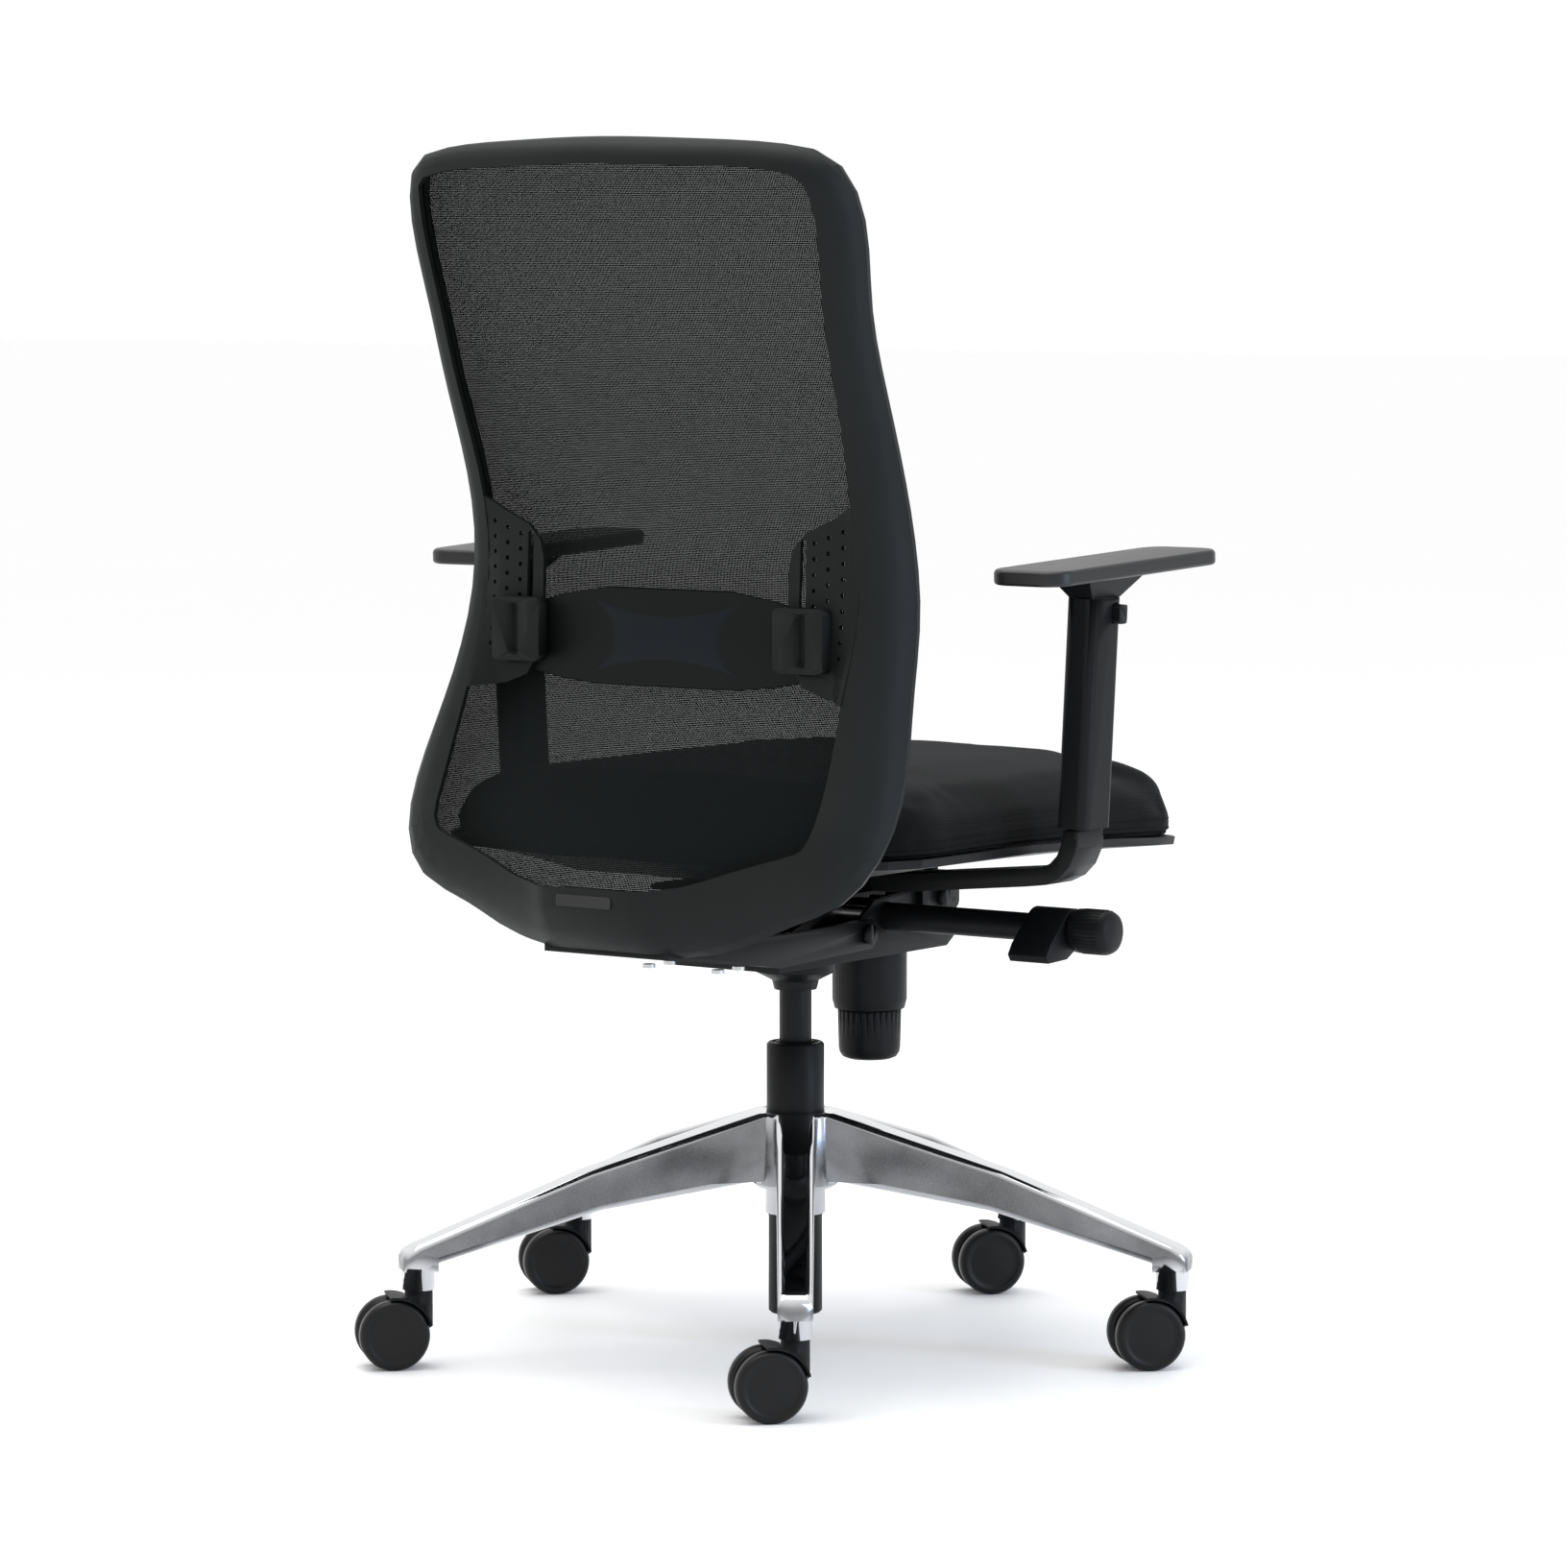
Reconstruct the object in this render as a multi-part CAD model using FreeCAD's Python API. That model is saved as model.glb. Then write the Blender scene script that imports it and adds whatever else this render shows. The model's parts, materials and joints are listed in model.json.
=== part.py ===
"""Swivel office chair: polished five-arm base, gas lift, synchro mechanism, mesh back, upholstered seat, armrests.

Origin on the floor on the column's axis, +Z up, the chair faces -Y, its right-hand side is -X.  Millimetres.
Each sub-part is written to parts/NODE.step.
"""
import FreeCAD, Part
import math
import os
from FreeCAD import Vector

# ---------------------------------------------------------------- driving dimensions
GAP = 0.3                     # clearance between pieces of different bodies
RUN = 0.05                    # radial running clearance of pins and shafts

# base and casters
CASTER_R = 30.0
STEM_CIRCLE_R = 338.0         # caster stems from the column's axis
ARM_COUNT = 5
ARM_BEARING_DEG = 125.0       # direction of the first base arm from +X
HUB_R = 38.0
HUB_BOTTOM = 140.0
HUB_TOP = 206.0
COLLAR_R = 27.0
COLLAR_BOTTOM = 117.0
ARM_ROOT_W = 34.0
ARM_TIP_W = 29.0
ARM_WALL = 5.0
ARM_EDGE_R = 6.5
SOCKET_R = 14.0
SOCKET_BOTTOM = 2 * CASTER_R + 7.0
ARM_TIP_TOP = SOCKET_BOTTOM + 39.0
ARM_TIP_BOTTOM = SOCKET_BOTTOM + 22.0         # underside of the arm beside the socket, and at half reach
ARM_MID_BOTTOM = 128.0
ARM_SHOULDER_DROP = 19.0
ARM_MID_TOP = 163.0           # height of the arm's back at half its reach
STEM_R = 5.5
CASTER_TRAIL = 23.0
CASTER_TURN_DEG = 47.0        # bearing of the trailing direction at rest
WHEEL_W = 16.0
WEB_W = 12.0
AXLE_R = 4.0
HOOD_GAP = 1.0
HOOD_T = 2.2
STEM_SLEEVE_R = 12.0
STEM_GRIP = 28.0              # length of stem inside the socket

# column and gas lift
TUBE_R = 25.0
TUBE_LOW_R = 23.3
TUBE_BORE_R = 20.3
TUBE_TOP = 266.0
TUBE_BOTTOM = 29.0
TUBE_FLOOR = 4.0
CYLINDER_R = 14.0
CYLINDER_BORE_R = 11.5
CYLINDER_BOTTOM = 98.0
CYLINDER_TOP = 345.0
TAPER_BOTTOM = 312.0
TAPER_TOP_R = 13.4
ROD_R = 5.0
ROD_TOP = 238.0
BEARING_R = 15.0
COLLAR_OF_ROD_R = 11.0        # shoulder and clip that hold the rod in the tube
VALVE_R = 3.0
VALVE_TOP = 351.0

# mechanism
HOUSING_HALF_W = 56.0
HOUSING_FRONT = -165.0
HOUSING_REAR = 104.0
HOUSING_BOTTOM = 339.0
HOUSING_TOP = 384.0
HOUSING_WALL = 4.0
BOSS_LOW_R = 18.5
BOSS_R = 36.0
RECLINE_Y = -17.0
RECLINE_Z = 362.0
TILT_Y = -135.0
TILT_Z = 385.0
PIVOT_R = 5.0
PIVOT_HEAD_R = 8.5
PIVOT_HEAD_T = 5.0
PIVOT_BITE = 14.0             # how far the recline stubs reach into the housing
KNOB_Y = -114.0
TOWER_R = 33.0
TOWER_BOTTOM = 284.0
KNOB_R = 28.0
KNOB_BOTTOM = 239.0
KNOB_RIBS = 30
BOLT_R = 5.0
SPRING_R = 19.0
SPRING_WIRE_R = 3.2
SPRING_TURNS = 5
LEVER_Y = -60.0
LEVER_Z = 373.5
LEVER_R = 12.0
LEVER_END = -203.0
SHAFT_R = 7.0
LOCK_ROD_R = 4.0
PADDLE_IN = -209.0
PADDLE_OUT = -248.0
PADDLE_HUB_R = 18.5
PADDLE_REACH = 45.0
LOCK_KNOB_R = 19.0
LOCK_KNOB_OUT = -288.0
YOKE_T = 6.0
BEYOND = 90.0                 # half length of a tool that cuts right across the mechanism

# seat
SEAT_HALF_W = 250.0
SEAT_FRONT = -290.0
SEAT_REAR = 226.0
SEAT_CORNER_R = 88.0
SEAT_TOP = 502.0
SEAT_CROWN = 9.0
SEAT_EDGE_Z = 452.0           # the cushion's lower edge along the sides
SEAT_DROP = 17.0              # how far the front edge hangs below that
SHELL_FLOOR = 420.0
SHELL_WALL = 4.0
SHELL_FLAT_HALF_W = 110.0
PLATE_BOTTOM = 402.0
PLATE_T = 3.0
PLATE_HALF_W = 95.0
PLATE_REAR = 92.0
SCREW_R = 3.0
SCREW_HEAD_R = 6.0
SCREW_HEAD_T = 4.0
WASHER_R = 7.0
BRACKET_SCREW_X = 78.0
BRACKET_SCREW_Y = 12.0
SHELL_SCREW_X = 60.0
SHELL_SCREW_YS = (-120.0, 70.0)

# armrests
ARM_X = 293.5                 # the post's axis at ARM_BASE_Z
ARM_BASE_Z = 460.0
ARM_LEAN_DEG = 2.9
BRACKET_T = 15.0
BRACKET_W = 42.0
BRACKET_ROOT_X = 40.0
BRACKET_BEND_R = 42.0
POST_T = 12.0
POST_W = 34.0
POST_TOP = 606.0
SLEEVE_T = 30.0
SLEEVE_W = 45.0
SLEEVE_BOTTOM = 469.0
SLEEVE_TOP = 662.0
SLEEVE_CORNER_R = 9.0
SLEEVE_SLACK = 0.1            # post inside the sleeve
PAD_TOP_EDGE_R = 4.0
PAD_LOW_EDGE_R = 3.0
PAD_BOTTOM = 678.5
PAD_T = 13.0
PAD_L = 250.0
PAD_W = 75.0
PAD_X = 297.0
PAD_REAR = 97.0
PAD_CORNER_R = 22.0
PAD_TOE_DEG = 2.0
PAD_RISE_DEG = 2.3            # the pads climb towards the front
BUTTON_Y = -12.0
BUTTON_Z = 649.0
BUTTON_H = 16.0
BUTTON_W = 12.0
BUTTON_PROUD = 7.0
BUTTON_TRAVEL = 3.0

# back
BACK_TOP = 1043.0
BACK_CROWN = 9.0
BACK_TOP_CORNER_R = 42.0
BACK_FLANGE_T = 5.0
BACK_WALL_T = 6.0
CARRIER_D = 7.0
RIM_STATIONS = 44             # sections lofted down each half of the frame
CARRIER_W = 8.0
MESH_T = 2.0
MESH_EVEN_Z = 520.0           # above this height the mesh follows the frame at an even inset
MESH_ROW_SPAN = 523.0         # span over which the rows of the mesh are spread, stretched with the back
# rim of the back frame, its front outer edge down one side: half width, distance behind the column, height
RIM_SIDE = [(222.5, 214.0, 905.0), (221.5, 192.0, 838.0), (222.5, 150.0, 708.0), (227.0, 150.0, 655.0),
            (234.5, 171.0, 580.0), (246.0, 204.0, 500.0)]
RIM_TOP_HALF_W = 224.0
RIM_TOP_Y = 236.0             # the rim where the top corners begin
RIM_TOP_SLOPE = 0.32
RIM_TOP_BOW = 28.0
# rim round the lower corner to the middle of the lower band
RIM_LOW = [(238.0, 229.0, 450.0), (216.0, 243.0, 420.0), (178.0, 246.0, 403.0), (140.0, 247.0, 387.0),
           (100.0, 250.0, 373.0), (60.0, 256.0, 367.0), (0.0, 260.0, 367.0)]
BAR_W_TOP = 22.0              # visible face of the frame across the bar, and the bar's depth, from top to bottom
BAR_D_TOP = 20.0
BAR_W_SIDE = 26.0
BAR_D_SIDE = 30.0
BAR_W_LUMBAR = 34.0
BAR_D_LUMBAR = 38.0
BAR_W_LOW = 50.0
BAR_D_LOW = 41.0
BAND_W = 59.0
BAND_D = 46.0
INSERT_HALF_W = 28.0
INSERT_H = 10.0
LUMBAR_TOP = 740.0
LUMBAR_BOTTOM = 583.0
LUMBAR_INNER_X = 127.0
LUMBAR_PLATE_T = 4.0
LUMBAR_PAD_BOTTOM = 585.0
LUMBAR_PAD_TOP = 667.0
LUMBAR_SLOT_X = 141.0
TRACK_Y = 195.0                # rear face of the wings where the grips slide, at LUMBAR_BOTTOM
TRACK_SLOPE = -0.04
TRACK_OUTER_X = 174.0         # the wings bend from there to meet the frame
WING_OUTER_X = 194.0
HOLE_R = 2.0
HOLE_PITCH = 13.0
HOLE_ROWS = 9
HOLE_STAGGER = 5.0
HOLE_COLUMNS = (152.0, 166.0, 180.0)

# ---------------------------------------------------------------- derived dimensions
ARM_BEARINGS = [ARM_BEARING_DEG + i * 360.0 / ARM_COUNT for i in range(ARM_COUNT)]


# ---------------------------------------------------------------- helpers
def vec(x, y, z):
    return Vector(x, y, z)


def box(x0, x1, y0, y1, z0, z1):
    return Part.makeBox(x1 - x0, y1 - y0, z1 - z0, vec(x0, y0, z0))


def rounded_box(x0, x1, y0, y1, z0, z1, radius, along="z"):
    """Box whose four edges along one axis are rounded."""
    solid = box(x0, x1, y0, y1, z0, z1)
    index = "xyz".index(along)
    edges = []
    for edge in solid.Edges:
        a, b = edge.Vertexes[0].Point, edge.Vertexes[-1].Point
        if abs((b - a)[index]) > 1e-6:
            edges.append(edge)
    return solid.makeFillet(radius, edges)


def rod(radius, start, end):
    a, b = vec(*start), vec(*end)
    return Part.makeCylinder(radius, (b - a).Length, a, b - a)


def revolve(profile, turn=360.0):
    """Solid of revolution about Z from a closed outline of (radius, height)."""
    points = [vec(r, 0, z) for r, z in profile]
    face = Part.Face(Part.makePolygon(points + points[:1]))
    return face.revolve(vec(0, 0, 0), vec(0, 0, 1), turn)


def prism(points, direction):
    """Solid made by moving a closed flat polygon along a vector."""
    corners = [vec(*p) for p in points]
    return Part.Face(Part.makePolygon(corners + corners[:1])).extrude(vec(*direction))


def loft(sections, ruled=False):
    wires = [Part.makePolygon([vec(*p) for p in s] + [vec(*s[0])]) for s in sections]
    return fixed(Part.makeLoft(wires, True, ruled))


def fixed(shape):
    """The shape with its solids turned the right way out."""
    if shape.Volume < 0:
        shape = shape.copy()
        shape.reverse()
    return shape


def fuse(shapes):
    return shapes[0].multiFuse(shapes[1:]).removeSplitter()


def mirrored(shape):
    """The same piece on the chair's other side."""
    return shape.mirror(vec(0, 0, 0), vec(1, 0, 0))


def turned(shape, degrees, centre=(0, 0, 0), axis=(0, 0, 1)):
    out = shape.copy()
    out.rotate(vec(*centre), vec(*axis), degrees)
    return out


def moved(shape, x, y, z):
    out = shape.copy()
    out.translate(vec(x, y, z))
    return out


def about_x(shape, y, z, x=0.0):
    """Turn a piece built round Z so that it lies round an axis along +X through (y, z)."""
    return moved(turned(shape, 90.0, axis=(0, 1, 0)), x, y, z)


# ---------------------------------------------------------------- base and column
def base_arm():
    """One arm of the base along +X, hollow underneath, with its caster socket."""
    tip = STEM_CIRCLE_R + SOCKET_R
    side = [(0, 0, HUB_TOP), (HUB_R, 0, HUB_TOP), (STEM_CIRCLE_R * 0.31, 0, HUB_TOP - ARM_SHOULDER_DROP),
            (STEM_CIRCLE_R * 0.56, 0, ARM_MID_TOP), (tip - 11, 0, ARM_TIP_TOP), (tip - 3, 0, ARM_TIP_TOP - 4),
            (tip, 0, ARM_TIP_TOP - 12), (tip, 0, SOCKET_BOTTOM + 16), (tip - 28, 0, SOCKET_BOTTOM + 16),
            (tip - 28, 0, ARM_TIP_BOTTOM), (STEM_CIRCLE_R * 0.53, 0, ARM_MID_BOTTOM), (HUB_R, 0, HUB_BOTTOM + 7), (0, 0, HUB_BOTTOM + 7)]
    half_root, half_tip = ARM_ROOT_W / 2, ARM_TIP_W / 2
    side = prism([(x, -half_root, z) for x, y, z in side], (0, ARM_ROOT_W, 0))
    plan = prism([(0, -half_root, 0), (tip, -half_tip, 0), (tip, half_tip, 0), (0, half_root, 0)], (0, 0, HUB_TOP + 1))
    arm = side.common(plan)
    top = []
    for edge in arm.Edges:
        a, b = edge.Vertexes[0].Point, edge.Vertexes[-1].Point
        middle = (a + b) * 0.5
        along = b - a
        lies_along = abs(along.x) > 5 and abs(middle.y) > half_tip - 1
        if lies_along and middle.z > ARM_TIP_TOP - 3 and middle.x > HUB_R:
            top.append(edge)
    arm = arm.makeFillet(ARM_EDGE_R, top)
    floor = SOCKET_BOTTOM + 16
    inside = [(HUB_R + 6, 0, HUB_BOTTOM - 30), (HUB_R + 6, 0, HUB_TOP - 19), (STEM_CIRCLE_R * 0.56, 0, ARM_MID_TOP - 10),
              (STEM_CIRCLE_R - SOCKET_R - 8, 0, ARM_TIP_TOP + 2), (STEM_CIRCLE_R - SOCKET_R - 8, 0, floor - 30)]
    inner_root, inner_tip = half_root - ARM_WALL, half_tip - ARM_WALL
    channel = prism([(x, -inner_root, z) for x, y, z in inside], (0, 2 * inner_root, 0))
    taper = prism([(0, -inner_root, 0), (tip, -inner_tip, 0), (tip, inner_tip, 0), (0, inner_root, 0)],
                  (0, 0, HUB_TOP))
    arm = arm.cut(channel.common(taper))
    socket = Part.makeCylinder(SOCKET_R, 20, vec(STEM_CIRCLE_R, 0, SOCKET_BOTTOM))
    return arm.fuse(socket)


def tube_radius(z):
    """Radius of the column tube, which narrows where it seats in the hub."""
    if z >= HUB_TOP:
        return TUBE_R
    share = (HUB_TOP - z) / (HUB_TOP - COLLAR_BOTTOM)
    return TUBE_R - min(share, 1.0) * 1.0


def base_star():
    hub = revolve([(0, COLLAR_BOTTOM), (COLLAR_R, COLLAR_BOTTOM), (COLLAR_R, HUB_BOTTOM), (HUB_R - 3, HUB_BOTTOM),
                   (HUB_R, HUB_BOTTOM + 4), (HUB_R, HUB_TOP - 3), (HUB_R - 3, HUB_TOP), (0, HUB_TOP)])
    arm = base_arm()
    star = fuse([hub] + [turned(arm, bearing) for bearing in ARM_BEARINGS])
    bore = revolve([(0, COLLAR_BOTTOM - 1), (tube_radius(COLLAR_BOTTOM), COLLAR_BOTTOM - 1),
                    (tube_radius(COLLAR_BOTTOM), COLLAR_BOTTOM), (TUBE_R, HUB_TOP), (TUBE_R, HUB_TOP + 1),
                    (0, HUB_TOP + 1)])
    star = star.cut(bore)
    hole = Part.makeCylinder(STEM_R, 31, vec(STEM_CIRCLE_R, 0, SOCKET_BOTTOM - 1))
    for bearing in ARM_BEARINGS:
        star = star.cut(turned(hole, bearing))
    return star


def column_tube():
    low = tube_radius(COLLAR_BOTTOM)
    outside = [(0, TUBE_BOTTOM), (TUBE_LOW_R - 2, TUBE_BOTTOM), (TUBE_LOW_R, TUBE_BOTTOM + 2),
               (TUBE_LOW_R, COLLAR_BOTTOM - 4), (low, COLLAR_BOTTOM), (TUBE_R, HUB_TOP), (TUBE_R, TUBE_TOP - 2),
               (TUBE_R - 2, TUBE_TOP), (0, TUBE_TOP)]
    bore = Part.makeCylinder(TUBE_BORE_R, TUBE_TOP, vec(0, 0, TUBE_BOTTOM + TUBE_FLOOR))
    rod_hole = Part.makeCylinder(ROD_R + 2, TUBE_FLOOR + 2, vec(0, 0, TUBE_BOTTOM - 1))
    return revolve(outside).cut(bore).cut(rod_hole)


def column_bushing():
    top = TUBE_TOP - 2
    outside = [(CYLINDER_R + RUN, top - 70), (TUBE_BORE_R, top - 70), (TUBE_BORE_R, top),
               (CYLINDER_R + 2, top + 3), (CYLINDER_R + RUN, top + 3)]
    return revolve(outside)


def thrust_bearing():
    """Two washers with a ball race between them, on the tube's floor."""
    seat = TUBE_BOTTOM + TUBE_FLOOR
    inner = ROD_R + 3
    return revolve([(inner, seat), (BEARING_R, seat), (BEARING_R, seat + 2), (BEARING_R - 3, seat + 2),
                    (BEARING_R - 3, seat + 5), (BEARING_R, seat + 5), (BEARING_R, seat + 7), (inner, seat + 7)])


def piston_rod():
    """Rod of the gas spring, with its piston inside the cylinder and a shoulder on the thrust bearing."""
    seat = TUBE_BOTTOM + TUBE_FLOOR + 7
    foot = TUBE_BOTTOM - 6
    return revolve([(0, foot), (ROD_R, foot), (ROD_R, seat + GAP), (COLLAR_OF_ROD_R, seat + GAP),
                    (COLLAR_OF_ROD_R, seat + 4), (ROD_R, seat + 4),
                    (ROD_R, ROD_TOP - 12), (CYLINDER_BORE_R - 0.1, ROD_TOP - 12), (CYLINDER_BORE_R - 0.1, ROD_TOP),
                    (0, ROD_TOP)])


def rod_clip():
    foot = TUBE_BOTTOM - 5
    return revolve([(ROD_R, foot), (COLLAR_OF_ROD_R, foot), (COLLAR_OF_ROD_R, foot + 3), (ROD_R, foot + 3)])


def gas_cylinder():
    floor, ceiling = CYLINDER_BOTTOM + 10, CYLINDER_TOP - 36
    hole = ROD_R + RUN
    return revolve([(hole, CYLINDER_BOTTOM), (CYLINDER_R - 1, CYLINDER_BOTTOM), (CYLINDER_R, CYLINDER_BOTTOM + 1),
                    (CYLINDER_R, TAPER_BOTTOM), (TAPER_TOP_R, CYLINDER_TOP), (VALVE_R + RUN, CYLINDER_TOP),
                    (VALVE_R + RUN, ceiling), (CYLINDER_BORE_R, ceiling), (CYLINDER_BORE_R, floor), (hole, floor)])


def valve_pin():
    return Part.makeCylinder(VALVE_R, 33, vec(0, 0, VALVE_TOP - 33))


# ---------------------------------------------------------------- casters
def caster_stem():
    """Stem pressed into the arm, ending in the caster housing below."""
    return revolve([(0, CASTER_R + 6), (STEM_R, CASTER_R + 6), (STEM_R, SOCKET_BOTTOM + STEM_GRIP), (0, SOCKET_BOTTOM + STEM_GRIP)])


def caster_housing():
    """Web between the wheels, hood over them and sleeve round the stem; the wheels trail along +X."""
    hood_out, hood_in = CASTER_R + HOOD_GAP + HOOD_T, CASTER_R + HOOD_GAP
    half_hood = WHEEL_W + WEB_W / 2 - 2
    web = rod(CASTER_R - 5, (CASTER_TRAIL, -WEB_W / 2, CASTER_R), (CASTER_TRAIL, WEB_W / 2, CASTER_R))
    shell = rod(hood_out, (CASTER_TRAIL, -half_hood, CASTER_R), (CASTER_TRAIL, half_hood, CASTER_R))
    shell = shell.cut(rod(hood_in, (CASTER_TRAIL, -half_hood - 1, CASTER_R), (CASTER_TRAIL, half_hood + 1, CASTER_R)))
    wedge = prism([(CASTER_TRAIL, -half_hood, CASTER_R), (-30, -half_hood, CASTER_R + 14), (-30, -half_hood, 80),
                   (CASTER_TRAIL + 6, -half_hood, 80)], (0, 2 * half_hood, 0))
    hood = shell.common(wedge)
    spoke = box(-STEM_R - 4, CASTER_TRAIL, -WEB_W / 2, WEB_W / 2, CASTER_R + 4, hood_out + CASTER_R - 8)
    sleeve = Part.makeCylinder(STEM_SLEEVE_R, SOCKET_BOTTOM - GAP - CASTER_R - 5, vec(0, 0, CASTER_R + 5))
    wheels = rod(hood_in, (CASTER_TRAIL, WEB_W / 2, CASTER_R), (CASTER_TRAIL, 60, CASTER_R))
    wheels = wheels.fuse(wheels.mirror(vec(0, 0, 0), vec(0, 1, 0)))
    body = fuse([web, hood, spoke, sleeve.cut(wheels)])
    axle_hole = rod(AXLE_R, (CASTER_TRAIL, -60, CASTER_R), (CASTER_TRAIL, 60, CASTER_R))
    stem_hole = Part.makeCylinder(STEM_R + RUN, 80, vec(0, 0, CASTER_R + 5))
    return body.cut(axle_hole).cut(stem_hole)


def caster_axle():
    reach = WEB_W / 2 + WHEEL_W - 4
    return rod(AXLE_R, (CASTER_TRAIL, -reach, CASTER_R), (CASTER_TRAIL, reach, CASTER_R))


def caster_wheel():
    """One wheel on the +Y side: rounded tread, dished outer face, hub running on the axle."""
    inner, outer = WEB_W / 2 + GAP, WEB_W / 2 + WHEEL_W
    r = CASTER_R
    wheel = revolve([(AXLE_R + RUN, inner), (r - 3, inner), (r, inner + 3), (r, outer - 4), (r - 2, outer - 1),
                     (r - 4, outer), (r - 6, outer), (r - 8, outer - 1.5), (8, outer - 0.5), (0, outer - 0.5),
                     (0, outer - 3.5), (AXLE_R + RUN, outer - 3.5)])
    return moved(turned(wheel, -90.0, axis=(1, 0, 0)), CASTER_TRAIL, 0, CASTER_R)


def placed_on_arm(shape, bearing):
    """A caster piece turned to its rest bearing and carried to its socket."""
    angle = math.radians(bearing)
    shape = turned(shape, CASTER_TURN_DEG)
    return moved(shape, STEM_CIRCLE_R * math.cos(angle), STEM_CIRCLE_R * math.sin(angle), 0)


# ---------------------------------------------------------------- mechanism
def mechanism_housing():
    half = HOUSING_HALF_W
    rear_top = RECLINE_Z + 12
    side = [(-half, HOUSING_FRONT, HOUSING_BOTTOM + 8), (-half, HOUSING_FRONT + 12, HOUSING_BOTTOM),
            (-half, HOUSING_REAR, HOUSING_BOTTOM), (-half, HOUSING_REAR, rear_top - 4),
            (-half, RECLINE_Y, rear_top), (-half, LEVER_Y + LEVER_R + 8, HOUSING_TOP + 5),
            (-half, TILT_Y, TILT_Z + 9), (-half, HOUSING_FRONT, TILT_Z + 6)]
    outer = prism(side, (2 * half, 0, 0))
    wall = HOUSING_WALL
    inner = prism([(-half + wall, HOUSING_FRONT + wall, HOUSING_BOTTOM + 8 + wall),
                   (-half + wall, HOUSING_FRONT + 14, HOUSING_BOTTOM + wall),
                   (-half + wall, HOUSING_REAR - wall, HOUSING_BOTTOM + wall),
                   (-half + wall, HOUSING_REAR - wall, HOUSING_TOP + 36),
                   (-half + wall, HOUSING_FRONT + wall, HOUSING_TOP + 36)],
                  (2 * (half - wall), 0, 0))
    boss = revolve([(0, TAPER_BOTTOM), (BOSS_LOW_R, TAPER_BOTTOM), (BOSS_LOW_R + 2, TAPER_BOTTOM + 8),
                    (BOSS_R, TAPER_BOTTOM + 16), (BOSS_R, HOUSING_BOTTOM + wall), (0, HOUSING_BOTTOM + wall)])
    body = outer.cut(inner).fuse(boss)
    bore = revolve([(0, TAPER_BOTTOM - 1), (CYLINDER_R, TAPER_BOTTOM - 1), (CYLINDER_R, TAPER_BOTTOM),
                    (TAPER_TOP_R, CYLINDER_TOP), (TAPER_TOP_R, HOUSING_TOP + 16), (0, HOUSING_TOP + 16)])
    body = body.cut(bore)
    body = body.cut(rod(PIVOT_R, (-BEYOND, RECLINE_Y, RECLINE_Z), (BEYOND, RECLINE_Y, RECLINE_Z)))
    body = body.cut(rod(PIVOT_R, (-BEYOND, TILT_Y, TILT_Z), (BEYOND, TILT_Y, TILT_Z)))
    body = body.cut(rod(LEVER_R, (-BEYOND, LEVER_Y, LEVER_Z), (0, LEVER_Y, LEVER_Z)))
    screw_hole = Part.makeCylinder(BOLT_R + 1, 60, vec(0, KNOB_Y, HOUSING_BOTTOM - 20))
    return body.cut(screw_hole).removeSplitter()


def tension_tower():
    top, bottom = HOUSING_BOTTOM, TOWER_BOTTOM
    return moved(revolve([(TOWER_R, top), (TOWER_R, bottom + 8), (TOWER_R - 2, bottom), (BOLT_R + RUN, bottom),
                          (BOLT_R + RUN, bottom + 4), (TOWER_R - 6, bottom + 4), (TOWER_R - 4, top)]), 0, KNOB_Y, 0)


def tension_knob():
    """Ribbed hand knob under the tower, with a rounded lower edge."""
    top, r = TOWER_BOTTOM - GAP, KNOB_R
    body = revolve([(0, KNOB_BOTTOM), (r - 9, KNOB_BOTTOM), (r - 4, KNOB_BOTTOM + 2), (r - 1.5, KNOB_BOTTOM + 6),
                    (r - 0.8, KNOB_BOTTOM + 10), (r, top - 3), (r, top), (0, top)])
    groove = Part.makeCylinder(1.2, 60, vec(r + 0.6, 0, KNOB_BOTTOM + 4))
    grooves = [turned(groove, i * 360.0 / KNOB_RIBS) for i in range(KNOB_RIBS)]
    body = body.cut(Part.makeCompound(grooves))
    body = body.cut(Part.makeCylinder(BOLT_R, 60, vec(0, 0, KNOB_BOTTOM + 12)))
    return moved(body, 0, KNOB_Y, 0)


def tension_bolt():
    top = HOUSING_BOTTOM + 24
    bolt = Part.makeCylinder(BOLT_R, top - KNOB_BOTTOM - 12, vec(0, KNOB_Y, KNOB_BOTTOM + 12))
    return bolt


def tension_spring():
    height = HOUSING_BOTTOM - TOWER_BOTTOM - 6 - 2 * SPRING_WIRE_R
    start = TOWER_BOTTOM + 4.3 + SPRING_WIRE_R
    helix = Part.makeHelix(height / SPRING_TURNS, height, SPRING_R)
    section = Part.Wire(Part.makeCircle(SPRING_WIRE_R, vec(SPRING_R, 0, 0), vec(0, 1, 0)))
    spring = Part.Wire(helix).makePipeShell([section], True, True)
    return moved(fixed(spring), 0, KNOB_Y, start)


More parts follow.
